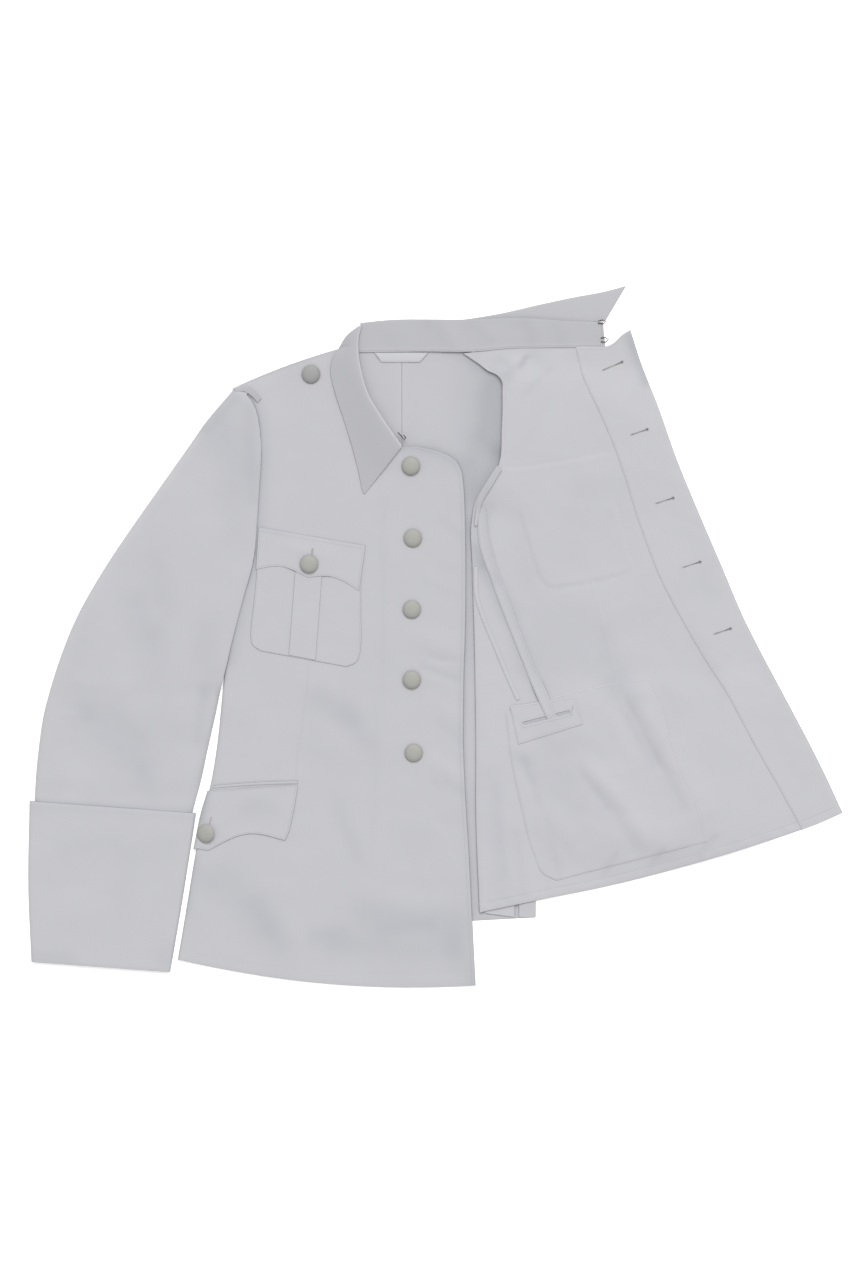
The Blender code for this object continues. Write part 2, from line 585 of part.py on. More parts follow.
BREAST_POCKET_LEFT = [
    (0.00, -192.5, 92), (0.25, -193, 66), (0.50, -195.5, 38), (0.75, -198.5, 12),
    (0.87, -199, 0), (0.94, -197, -9), (1.00, -188, -15)]
BREAST_POCKET_RIGHT = [
    (0.00, -79.5, 71), (0.25, -80, 45), (0.50, -80, 20), (0.80, -80, -8), (0.90, -81.5, -19),
    (0.96, -86, -28), (1.00, -96, -32)]
SKIRT_FLAP_FOLD = [(0.0, -246, -166), (0.36, -252.8, -191), (0.9, -260, -229), (1.0, -261.3, -236)]
SKIRT_FLAP_END = [(0.0, -148, -159.5), (0.5, -152.5, -187), (0.85, -158.5, -212), (1.0, -162, -219.5)]
SKIRT_FLAP_SHARE = 0.437    # how much of the flap has turned under the side fold
BAG_LEFT = [(0.0, 76, -82), (0.28, 83, -137), (0.55, 94, -188), (0.82, 108, -238),
            (0.93, 117, -256), (1.0, 131, -263)]
BAG_RIGHT = [(0.0, 232, -45), (0.2, 248, -81), (0.46, 260, -129), (0.73, 280, -174),
             (1.0, 294, -221)]
FACING_EDGE = [(0.0, 150, 310.5), (0.05, 157, 295), (0.13, 176, 262), (0.22, 196, 219),
               (0.31, 212, 172), (0.40, 233, 121), (0.49, 262, 68), (0.57, 286, 13),
               (0.65, 307, -33), (0.78, 344, -112), (0.89, 368, -163), (1.0, 389, -205)]
STRAP_LEFT = [(0.0, 45, 137), (0.15, 48, 99), (0.31, 60, 63), (0.48, 75, 22), (0.66, 91, -18),
              (0.84, 107, -58), (1.0, 121, -89)]
STRAP_RIGHT = [(0.0, 54, 143), (0.15, 60, 104), (0.31, 71, 66), (0.48, 85.5, 25),
               (0.66, 101, -16), (0.84, 118.5, -55), (1.0, 132, -86.5)]
STRAND_PATH = [(0.0, 44, 76), (0.2, 45, 45), (0.33, 50, 27), (0.6, 65, -10), (0.85, 80, -46),
               (1.0, 90, -68)]
TAPE_OUTER = [(0.0, 67, 185), (0.35, 55.5, 167), (0.7, 46.5, 150), (1.0, 43, 132)]
TAPE_INNER = [(0.0, 72, 180), (0.35, 60, 160), (0.7, 51.5, 145), (1.0, 48, 128)]


def build_breast_pocket(cloth, collection):
    """Patch pocket with a box pleat and a scalloped flap."""
    patch("breast_pocket_right", BREAST_POCKET_LEFT, BREAST_POCKET_RIGHT, (13, 9),
          front_right_height, 1.6, cloth, collection)
    patch("breast_pleat_right", [(0.0, -150.5, 79), (1.0, -158, -19.5)],
          [(0.0, -121.5, 74), (1.0, -129, -25)], (8, 3),
          front_right_height, 3.1, cloth, collection)
    down = np.array([0.0, 0.2, 0.45, 0.72, 1.0])
    across = spaced(0.0, 1.0, 15)
    left = along([(0.0, -190.5, 119), (1.0, -193.5, 73)], down)
    right = along([(0.0, -75, 99), (1.0, -82, 50)], down)
    places = between(left, right, across)
    places[:, :, 1] += down[:, None] * scallop(across, 6.5)[None, :]
    over_pleat = smooth(2.1 - abs(places[:, :, 0] + 136.5) / 14.0)
    lift = 1.7 + (1.4 + 1.45 * over_pleat) * smooth(down / 0.45)[:, None]
    z = front_right_height(places[:, :, 0], places[:, :, 1]) + lift
    sheet("breast_flap_right", np.dstack([places, z]), cloth, collection)


def build_skirt_pocket(cloth, collection):
    """Welt and scalloped flap; the flap goes on round the side fold."""
    patch("skirt_welt_right", [(0.0, -239, -159.5), (1.0, -240, -163.5)],
          [(0.0, -148, -154.5), (1.0, -148.5, -158.5)], (2, 9),
          front_right_height, 1.6, cloth, collection, bows=(1.0, 1.0))
    flap = FoldedPanel(SKIRT_FLAP_FOLD, SKIRT_FLAP_END,
                       lambda x, y: front_right_height(x, y) + 1.6,
                       [(0.0, 74, 0.5, 0.0), (1.0, 74, 0.5, 0.0)], SIDE_ROUND + 1.0, fall=0.1)
    down = np.array([0.0, 0.25, 0.5, 0.75, 1.0])
    across = np.concatenate([[0.0, 0.04], spaced(0.1, 1.0, 11)])
    strip = (1.0, 0.8, 0.6, 0.4, 0.2)
    grid = flap.grid(down, across, strip_steps=strip)
    place = np.concatenate([SKIRT_FLAP_SHARE * (1.0 - np.array(strip)),
                            np.full(4, SKIRT_FLAP_SHARE),
                            SKIRT_FLAP_SHARE + (1.0 - SKIRT_FLAP_SHARE) * across])
    grid[:, :, 1] += down[:, None] * scallop(place, 11.3)[None, :]
    sheet("skirt_flap_right", grid, cloth, collection)


def build_inside_pieces(cloth, collection):
    """What shows on the inside of the opened left front."""
    fold = along(FRONT_LEFT_FOLD, FRONT_LEFT_ROWS)
    width = along(FRONT_LEFT_EDGE, FRONT_LEFT_ROWS) - fold
    reach = ((along(FACING_EDGE, FRONT_LEFT_ROWS) - fold) * width).sum(1) / (width ** 2).sum(1)
    across = reach[:, None] + (0.996 - reach[:, None]) * spaced(0.0, 1.0, 7)[None, :]
    places = FRONT_LEFT.face(FRONT_LEFT_ROWS, across)
    sheet("facing_left", with_height(places, open_front_height, SOFT_LAP), cloth, collection)
    patch("pocket_bag_left", BAG_LEFT, BAG_RIGHT, (14, 12), open_front_height, SOFT_LAP,
          cloth, collection, bows=(5.0, 0.0))

    down = np.array([0.0, 0.22, 0.42, 0.60, 0.8, 1.0])
    across = np.array([0.0, 0.13, 0.32, 0.5, 0.68, 0.87, 1.0])
    left = along([(0.0, 81, -75), (1.0, 90, -116)], down)
    right = along([(0.0, 151, -64.5), (1.0, 160, -94)], down)
    places = between(left, right, across)
    slot = {(2, col) for col in range(1, 5)}
    sheet("slot_patch_left", with_height(places, open_front_height, 2 * SOFT_LAP), cloth,
          collection, skip=slot)

    down = spaced(0.0, 1.0, 17)
    across = np.array([0.0, 0.5, 1.0])
    places = between(along(STRAP_LEFT, down), along(STRAP_RIGHT, down), across)
    over_patch = smooth((down - 0.72) / 0.12)[:, None]
    lift = SOFT_LAP + 2 * SOFT_LAP * over_patch
    z = open_front_height(places[:, :, 0], places[:, :, 1]) + lift
    sheet("strap_front_left", np.dstack([places, z]), cloth, collection)

    down = spaced(0.0, 1.0, 13)
    path = along(STRAND_PATH, down)
    places = between(path - (2.2, 0.5), path + (2.2, 0.5), np.array([0.0, 1.0]))
    sheet("strap_rear_left", with_height(places, open_front_height, SOFT_LAP), cloth, collection)
    patch("armhole_tape_left", TAPE_OUTER, TAPE_INNER, (7, 3), open_front_height,
          2 * SOFT_LAP, cloth, collection)


LOOP_UPPER = [(0.0, -216.5, 267.5), (0.4, -205.5, 270.5), (0.7, -196.5, 265.5), (1.0, -187.5, 257.5)]
LOOP_LOWER = [(0.0, -215.5, 264), (0.4, -205, 264.5), (0.7, -197.5, 259.5), (1.0, -191.5, 252.5)]


def build_loops(cloth, collection):
    """Hanger loop in the neck seam and the loop at the shoulder."""
    patch("hanger_loop", [(0.0, -66, 307.4), (1.0, -58, 297)], [(0.0, -7, 307.4), (1.0, -16, 297)],
          (2, 3), flat_height, LAP + 0.05, cloth, collection)
    patch("shoulder_loop_right", LOOP_UPPER, LOOP_LOWER, (8, 2), front_right_height, 1.7,
          cloth, collection)


# ---------------------------------------------------------------- buttons, hook and eyes
BUTTON_PROFILE = [(0.0, 6.2), (4.0, 5.8), (7.4, 4.4), (9.4, 2.4), (9.9, 1.4), (9.2, 0.7),
                  (3.0, 0.7), (2.6, 0.0), (0.0, 0.0)]
# name, x, y, tilt in degrees about Y, cloth layers under it
BUTTONS = [
    ("front_button_1", -26, 185, 0, 0.0), ("front_button_2", -24, 107, 0, 0.0),
    ("front_button_3", -25, 30, 0, 0.0), ("front_button_4", -25, -46, 0, 0.0),
    ("front_button_5", -23, -125, 0, 0.0), ("shoulder_button_right", -134, 284, 0, 0.0),
    ("breast_button_right", -136, 79, 0, 4.6), ("skirt_button_right", -247.5, -212, -14, 3.6)]


def button_mesh():
    """Turned profile of a domed button with its shank, standing on z = 0."""
    mesh = bpy.data.meshes.new("button")
    verts = [(x * MM, 0.0, z * MM) for x, z in BUTTON_PROFILE]
    edges = [(i, i + 1) for i in range(len(verts) - 1)]
    mesh.from_pydata(verts, edges, [])
    return mesh


def build_buttons(metal, collection):
    """Every button sits just clear of the cloth below it."""
    mesh = button_mesh()
    mesh.materials.append(metal)
    for name, x, y, tilt, layers in BUTTONS:
        made = bpy.data.objects.new(name, mesh)
        around = np.array([(x + dx, y + dy) for dx in (-3, 0, 3) for dy in (-3, 0, 3)], float)
        height = front_right_height(around[:, 0], around[:, 1]).max() + CLOTH / 2 + layers
        made.location = (x * MM, y * MM, (height + GAP + 0.1) * MM)
        made.rotation_euler = (0.0, math.radians(tilt), 0.0)
        screw = made.modifiers.new("turn", "SCREW")
        screw.steps = 14
        screw.render_steps = 14
        screw.use_merge_vertices = True
        screw.merge_threshold = 0.00001
        collection.objects.link(made)


# bent wires: name, height, then the path in millimetres
WIRES = [
    ("collar_hook", 6.6, [(-40, 221), (-36.5, 217), (-33, 213), (-31.5, 215.5), (-34, 218)]),
    ("collar_eye_1", 5.0, [(176, 341), (181, 342.5), (184.5, 340.5), (182, 338.5), (176, 339)]),
    ("collar_eye_2", 5.0, [(179, 323), (184, 323.5), (187.5, 321), (184.5, 318.5), (179, 319)])]


def build_wires(metal, collection):
    """Hook and eyes of the collar, as bent wire."""
    for name, height, path in WIRES:
        curve = bpy.data.curves.new(name, "CURVE")
        curve.dimensions = "3D"
        curve.bevel_depth = WIRE_RADIUS * MM
        curve.bevel_resolution = 2
        curve.use_fill_caps = True
        spline = curve.splines.new("POLY")
        spline.points.add(len(path) - 1)
        for point, (x, y) in zip(spline.points, path):
            point.co = (x * MM, y * MM, height * MM, 1.0)
        curve.materials.append(metal)
        made = bpy.data.objects.new(name, curve)
        collection.objects.link(made)


def main():
    """Clears the scene and builds the tunic."""
    for old in list(bpy.data.objects):
        bpy.data.objects.remove(old, do_unlink=True)
    collection = bpy.data.collections.new("military_tunic")
    bpy.context.scene.collection.children.link(collection)
    cloth = material("white_cotton_drill", (0.55, 0.56, 0.58), 0.9)
    button_metal = material("grey_green_button_metal", (0.47, 0.47, 0.42), 0.5, 0.6)
    hook_metal = material("steel_hook", (0.2, 0.2, 0.21), 0.4, 1.0)
    build_fronts(cloth, collection)
    build_back(cloth, collection)
    build_right_sleeve(cloth, collection)
    build_left_sleeve(cloth, collection)
    build_collar(cloth, collection)
    build_breast_pocket(cloth, collection)
    build_skirt_pocket(cloth, collection)
    build_inside_pieces(cloth, collection)
    build_loops(cloth, collection)
    build_buttons(button_metal, collection)
    build_wires(hook_metal, collection)


main()
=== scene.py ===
"""Looks of a white cotton military tunic, laid on its back with its left front thrown open.

Each cut piece is a thin shell of cotton drill on the form of its solid, worked out on a fine grid from
short tables of its edges, with the seams, hems, rolled edges and creases of the real garment. Sewing
is small stitches of thread. Lengths are in millimetres until a mesh is made, and in metres there.
"""
from __future__ import annotations

import logging
import math
from dataclasses import dataclass, replace
from enum import Enum
from typing import Callable, Sequence

import bpy
import numpy as np
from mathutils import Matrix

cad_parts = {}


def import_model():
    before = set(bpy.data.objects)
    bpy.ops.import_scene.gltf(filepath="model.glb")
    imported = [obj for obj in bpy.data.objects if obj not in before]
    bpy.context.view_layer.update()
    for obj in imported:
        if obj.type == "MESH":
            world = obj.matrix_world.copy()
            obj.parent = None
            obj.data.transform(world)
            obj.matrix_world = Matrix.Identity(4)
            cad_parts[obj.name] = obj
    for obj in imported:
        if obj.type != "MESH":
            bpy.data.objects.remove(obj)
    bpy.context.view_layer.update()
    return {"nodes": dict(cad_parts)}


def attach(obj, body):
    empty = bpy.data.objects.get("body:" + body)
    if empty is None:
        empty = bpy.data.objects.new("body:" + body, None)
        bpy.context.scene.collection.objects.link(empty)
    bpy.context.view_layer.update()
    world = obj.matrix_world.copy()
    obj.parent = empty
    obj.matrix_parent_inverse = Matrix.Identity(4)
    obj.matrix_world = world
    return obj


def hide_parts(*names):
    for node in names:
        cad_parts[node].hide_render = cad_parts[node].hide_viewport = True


LOG = logging.getLogger("tunic")
Array = np.ndarray
Table = tuple[tuple[float, ...], ...]
Height = Callable[[Array, Array], Array]
Tint = tuple[float, float, float]

MM = 0.001  # metres in a millimetre
PANEL = 1.0  # wall of a big panel
PATCH = 0.7  # wall of a piece that is sewn on
ON_PANEL = 0.92  # middle of a patch above the middle of the panel it lies on
ON_PATCH = 0.78  # middle of a patch above the middle of the patch it lies on
FLOOR_MID = 0.5  # middle of cloth that lies on the floor
PHOTO_ROWS = 1279  # the photograph's height in pixels, the longer side of its field
PIXEL = 1.08  # millimetres of cloth in one pixel
FRAME_CENTRE = (-10.8, -2.7)
LEAST_CUT = 0.01  # metres of the narrowest cut that can be stated
DARKEST_PAINTED_SHADE = -0.45  # the most that painted shade darkens a place
TURNS = 8  # steps of a fold's rounding
RIM_CELL = 0.9  # width of the cells beside a rim, in walls
RIM_DRAWN = 0.35  # share of those cells by which both sides of a wall stop short of the rim
TINY = 1e-9


class Slot(Enum):
    """Material slots of the record for the pieces made here."""

    CLOTH = "cotton_drill"
    BUTTON = "button_metal"


# ---- numbers
def smooth(value: Array) -> Array:
    """Rises from 0 to 1 with level ends: 3 v squared minus 2 v cubed."""
    value = np.clip(value, 0, 1)
    return value * value * (3 - 2 * value)


def rounded(value: Array) -> Array:
    """A quarter circle: 0 at the edge, 1 from the end of the rounding on."""
    value = np.clip(value, 0, 1)
    return np.sqrt(np.maximum(0, 1 - (1 - value) ** 2))


def bell(value: Array) -> Array:
    """The bell exp(-v squared)."""
    return np.exp(-value * value)


def shares(count: int, start: float = 0, end: float = 1) -> Array:
    """Even places from start to end."""
    return np.linspace(start, end, count)


def run_lengths(grid: Array, axis: int = 0) -> Array:
    """Length along a line's or a grid's points from their start, in their unit."""
    steps = np.cumsum(np.linalg.norm(np.diff(grid, axis=axis), axis=-1), axis=axis)
    return np.concatenate([np.zeros_like(steps.take([0], axis)), steps], axis=axis)


def along_line(line: Array, lengths: Array) -> Array:
    """Points of a line at the given lengths from its start."""
    run = run_lengths(line)
    return np.stack([np.interp(lengths, run, column) for column in line.T], axis=1)


def line_place(x: Array, y: Array, line: Array) -> tuple[Array, Array, Array]:
    """Where places lie beside an open line of points.

    Returns:
        Distance to the line, share of its length, and side (1 left of its direction, -1 right).
    """
    best = np.full(np.shape(x), np.inf)
    share, side = np.zeros(np.shape(x)), np.ones(np.shape(x))
    lengths = run_lengths(line)
    for start, end, before, after in zip(line[:-1], line[1:], lengths[:-1], lengths[1:]):
        run = end - start
        along = np.clip(((x - start[0]) * run[0] + (y - start[1]) * run[1]) / (run @ run), 0, 1)
        dx, dy = x - start[0] - along * run[0], y - start[1] - along * run[1]
        off = np.hypot(dx, dy)
        near = off < best
        best = np.where(near, off, best)
        share = np.where(near, (before + along * (after - before)) / lengths[-1], share)
        side = np.where(near, np.sign(run[0] * dy - run[1] * dx), side)
    return best, share, side


def distance(x: Array, y: Array, line: Sequence[Sequence[float]] | Array) -> Array:
    """Distance from places to an open line of points."""
    return line_place(x, y, np.array(line, float))[0]


@dataclass(frozen=True)
class Edge:
    """An outline: rows of share along it, x and y, joined by a smooth cubic."""

    rows: Table

    def at(self, share: Array | float) -> Array:
        """Points at the given shares: cubics whose slopes at a row come from the rows beside it."""
        table = np.array(self.rows, float)
        knots, values = table[:, 0], table[:, 1:]
        slopes = np.gradient(values, knots, axis=0)
        share = np.clip(share, knots[0], knots[-1])
        k = np.clip(np.searchsorted(knots, share, side="right") - 1, 0, len(knots) - 2)
        step = (knots[k + 1] - knots[k])[..., None]
        t = (share - knots[k])[..., None] / step
        rise = (2 * t ** 3 - 3 * t ** 2 + 1) * values[k] + (3 * t ** 2 - 2 * t ** 3) * values[k + 1]
        lean = (t ** 3 - 2 * t ** 2 + t) * slopes[k] + (t ** 3 - t ** 2) * slopes[k + 1]
        return rise + lean * step

    def place(self, x: Array, y: Array, count: int = 90) -> tuple[Array, Array, Array]:
        """Distance, share of the length and side of places beside the edge."""
        return line_place(x, y, self.at(shares(count)))

    def off(self, x: Array, y: Array, count: int = 60) -> Array:
        """Distance from places to the edge."""
        return self.place(x, y, count)[0]


@dataclass(frozen=True)
class Crease:
    """A soft ridge or trough along a line, which fades towards both ends."""

    path: Table
    width: float  # half width across, on its left
    height: float  # a trough is below 0
    steep: float = 1  # its right side is this many times narrower
    fade: float = 0.3  # share of the length over which an end fades
    left_over: float = 0.12  # share of the height that stays at the ends

    def relief(self, x: Array, y: Array) -> Array:
        """Height times a bell across the line times a taper that is smallest at both ends."""
        off, share, side = line_place(x, y, np.array(self.path, float))
        width = np.where(side < 0, self.width / self.steep, self.width)
        taper = smooth(share / self.fade) * smooth((1 - share) / self.fade)
        return self.height * bell(off / width) * (self.left_over + (1 - self.left_over) * taper)


def crease_rows(*rows: Sequence[float]) -> tuple[Crease, ...]:
    """Creases from rows of x and y of each point, then half width, height and steepness."""
    return tuple(Crease(tuple(zip(row[:-3:2], row[1:-3:2])), *row[-3:]) for row in rows)


@dataclass(frozen=True)
class Seam:
    """A stitched line whose cloth is drawn in, with a slight step from one side to the other."""

    path: Table | Array
    depth: float = 0.4
    width: float = 0.9
    step: float = 0  # how much higher the left side is
    step_width: float = 0.8  # how far from the line the step is complete
    step_reach: float = 9  # and over which distance it fades again
    fade: float = 0.04  # share of the length over which an end fades

    def relief(self, x: Array, y: Array) -> Array:
        """Minus a narrow bell across the line, plus half the step on each side."""
        off, share, side = line_place(x, y, np.array(self.path, float))
        ends = smooth(share / self.fade) * smooth((1 - share) / self.fade)
        step = 0.5 * self.step * side * smooth(off / self.step_width) * bell(off / self.step_reach)
        return (step - self.depth * bell(off / self.width)) * ends


@dataclass(frozen=True)
class Unevenness:
    """The slight waviness of washed and pressed cotton: a sum of plane waves of uneven length."""

    seed: int
    cell: float  # typical length of a wave
    height: float
    count: int = 22

    def relief(self, x: Array, y: Array) -> Array:
        """Sum of sines of k . p + phase with random directions, lengths and phases."""
        rng = np.random.default_rng(self.seed)
        turn = rng.uniform(0, math.pi, self.count)
        length = self.cell * rng.uniform(0.6, 1.9, self.count)
        phase = rng.uniform(0, 2 * math.pi, self.count)
        total = sum(np.sin(2 * math.pi * (x * math.cos(angle) + y * math.sin(angle)) / wave + start)
                    * wave / self.cell for angle, wave, start in zip(turn, length, phase))
        return total * self.height / math.sqrt(self.count / 2)


@dataclass(frozen=True)
class Streaks:
    """Short soft lines: folds of the cloth, or painted light and shade on its colour."""

    rows: Table  # from x, y, to x, y, half width, height or change of brightness

    def at(self, x: Array, y: Array) -> Array:
        """Sum of each row's height times a bell of the distance to its line."""
        return sum(height * bell(distance(x, y, ((x0, y0), (x1, y1))) / half_width)
                   for x0, y0, x1, y1, half_width, height in self.rows)


def total_relief(parts: Sequence[Crease | Seam | Unevenness], x: Array, y: Array) -> Array:
    """Sum of the relief of several parts."""
    return sum(part.relief(x, y) for part in parts)


def on_floor(x: Array, y: Array) -> Array:
    """Middle of cloth that lies flat on the floor."""
    return np.full(np.shape(x), FLOOR_MID)


def raised(height: Height, lift: float) -> Height:
    """A height function moved up by lift."""
    return lambda x, y: height(x, y) + lift


# ---- outlines
RIGHT_SIDE = Edge((
    (0, -219.5, 268.5), (0.03, -201.5, 257), (0.065, -193.5, 236), (0.12, -190.5, 203),
    (0.18, -192.5, 164), (0.25, -195.5, 118), (0.3, -198, 87), (0.375, -210, 43), (0.45, -222, -3),
    (0.495, -226.8, -33), (0.53, -229.3, -58), (0.565, -231.5, -81), (0.61, -234.5, -110),
    (0.65, -238, -135), (0.69, -243, -162), (0.735, -250.7, -191), (0.795, -257.8, -229),
    (0.91, -270, -302), (1, -278, -349)))
RIGHT_EDGE = Edge((
    (0, -96, 313.5), (0.02, -96, 299), (0.045, -93, 278), (0.08, -84, 254), (0.115, -71, 231),
    (0.15, -55, 212), (0.175, -40, 205), (0.2, -17, 205), (0.215, -2, 202), (0.235, 15, 196),
    (0.25, 24, 189), (0.265, 28.5, 180), (0.285, 30.5, 168), (0.32, 32, 148), (0.385, 33, 105),
    (0.5, 33, 18), (0.6, 31, -57), (0.685, 31, -125), (0.745, 33, -171), (0.83, 37, -239),
    (0.93, 41, -319), (1, 44, -376.5)))
OPEN_FOLD = Edge((
    (0, 30, 306.5), (0.018, 47.5, 294.8), (0.03, 56, 288.2), (0.045, 67, 282.6), (0.057, 72, 276),
    (0.075, 72.6, 264), (0.13, 72, 226), (0.19, 68, 184), (0.225, 56, 168), (0.25, 45, 150),
    (0.29, 39, 122), (0.35, 40, 79), (0.5, 42.5, -10), (0.65, 44, -110), (0.8, 44, -190), (1, 48, -298)))
OPEN_EDGE = Edge((
    (0, 211, 332), (0.05, 222, 298), (0.13, 241, 249), (0.22, 261, 192), (0.31, 284, 136), (0.4, 309, 78),
    (0.49, 332.8, 22), (0.57, 353, -18), (0.65, 369, -48), (0.78, 403.5, -113), (0.89, 422.5, -151),
    (1, 440.5, -190)))
OPEN_TOP = Edge((
    (0, 30, 306.5), (0.15, 56, 309.4), (0.3, 81, 312.4), (0.47, 113, 313.2), (0.69, 159, 313.4),
    (0.78, 176, 313.6), (0.83, 185, 314), (0.88, 193, 318), (0.94, 201.5, 326), (1, 211, 332)))
OPEN_HEM = Edge((
    (0, 48, -298), (0.14, 110, -285), (0.36, 195, -267.5), (0.53, 264, -249.5), (0.67, 319, -233.5),
    (0.8, 369, -217.5), (0.9, 408, -204), (1, 440.5, -190)))
BACK_FOLD = Edge((
    (0, 128, 278), (0.1, 134, 225), (0.2, 130, 180), (0.27, 126, 140), (0.31, 124, 116), (0.47, 119, 18),
    (0.7, 111, -133), (1, 109, -303)))
CENTRE_BACK = Edge(((0, -35.8, 309.8), (1, -35.8, -311)))
RIGHT_CENTRE = Edge(((0, -35.85, 309.8), (1, -35.85, -311)))
SLEEVE_OUTER = Edge((
    (0, -220.5, 264), (0.05, -246, 234), (0.1, -263, 210), (0.18, -294, 166), (0.27, -325, 122),
    (0.35, -352, 82), (0.41, -371, 51), (0.48, -389, 17), (0.55, -405, -23), (0.61, -417, -61),
    (0.66, -424, -90), (0.7, -428, -119), (0.745, -431, -148), (0.79, -432.5, -176), (0.9, -433, -262),
    (1, -431, -344)))
SLEEVE_INNER = Edge((
    (0, -204, 261.2), (0.02, -197, 253.5), (0.045, -192, 240), (0.1, -188, 203), (0.17, -190, 164),
    (0.25, -193, 118), (0.305, -195.5, 87), (0.385, -207, 43), (0.465, -219, -3), (0.515, -226.6, -36),
    (0.555, -232.3, -58), (0.6, -237.6, -84), (0.66, -246, -121), (0.715, -253, -154), (0.77, -262, -188),
    (0.855, -271, -241), (1, -288, -349)))
CUFF_LEFT = Edge(((0, -438, -177), (0.5, -439.4, -266), (1, -436, -351)))
CUFF_RIGHT = Edge(((0, -258, -190), (0.5, -271.5, -276), (1, -286, -362)))
LEAF_OUTER = Edge((
    (0, -84, 335), (0.08, -96, 325), (0.16, -104.5, 311), (0.24, -111, 299), (0.31, -113, 287),
    (0.42, -108, 264), (0.56, -99, 236), (0.72, -89, 203), (0.86, -82, 175), (0.94, -79, 159),
    (1, -76.5, 154)))
LEAF_ROLL = Edge((
    (0, -79, 337), (0.12, -82.5, 320), (0.22, -82, 304), (0.34, -79, 286), (0.48, -72, 263),
    (0.64, -58, 239), (0.8, -43, 217), (0.88, -37, 209), (1, -36, 205)))
NECK_SEAM = Edge((
    (0, -93, 306), (0.2, -92.5, 283), (0.42, -83, 255), (0.64, -68.5, 230.5), (0.85, -54, 214),
    (1, -44, 208)))
STAND_ROLL = Edge((
    (0, -85, 306), (0.2, -82, 287), (0.42, -74.7, 264.5), (0.64, -61.2, 241.3), (0.85, -47, 222),
    (1, -40.5, 214)))
STAND_TOP = Edge((
    (0, -77, 339.6), (0.18, -40, 343), (0.43, 30, 343), (0.68, 100, 344.6), (0.83, 140, 341.8),
    (1, 181.5, 340.2)))
STAND_BOTTOM = Edge((
    (0, -79, 307.2), (0.24, -11, 308.2), (0.46, 46, 308.3), (0.59, 80, 311.4), (0.72, 114, 312.2),
    (0.88, 159, 312.8), (1, 184, 313.4)))
LEAF_LEFT_OUTER = Edge((
    (0, -76, 336), (0.3, -10, 342), (0.52, 41, 344.5), (0.6, 70, 349.5), (0.72, 114, 359.5),
    (0.84, 152, 367.5), (0.93, 184, 373.5), (1, 206.5, 379.5)))
LEAF_LEFT_INNER = Edge((
    (0, -76, 310.5), (0.3, -10, 310.5), (0.52, 41, 314), (0.66, 86, 328), (0.8, 130, 338),
    (0.93, 164, 340), (1, 184, 341.5)))
FACING_INNER = Edge((
    (0, 150, 310.5), (0.05, 157, 295), (0.13, 176, 262), (0.22, 196, 219), (0.31, 212, 172),
    (0.4, 233, 121), (0.49, 262, 68), (0.57, 286, 13), (0.65, 307, -33), (0.78, 344, -112),
    (0.89, 368, -163), (1, 389, -205)))


# ---- how it lies
SHOULDER = ((-222, 268), (-96, 314))
OPEN_ARMHOLE = ((71, 280), (72, 226), (68, 188))


class FrontLay:
    """What the heights of both fronts share; form, creases, waviness and seams are theirs."""

    shown_through = ()

    def calm(self, x: Array, y: Array) -> Array | float:
        """Share of the creases that is left at a place."""
        return 1

    def soft(self, x: Array, y: Array) -> Array:
        """The form with its creases, for pieces that lie on the front."""
        return self.form(x, y) + total_relief([*self.creases, *self.waviness], x, y) * self.calm(x, y)

    def full(self, x: Array, y: Array) -> Array:
        """The front itself, with its seams and what shows through from its other side."""
        return self.soft(x, y) + total_relief([*self.seams, *self.shown_through], x, y)


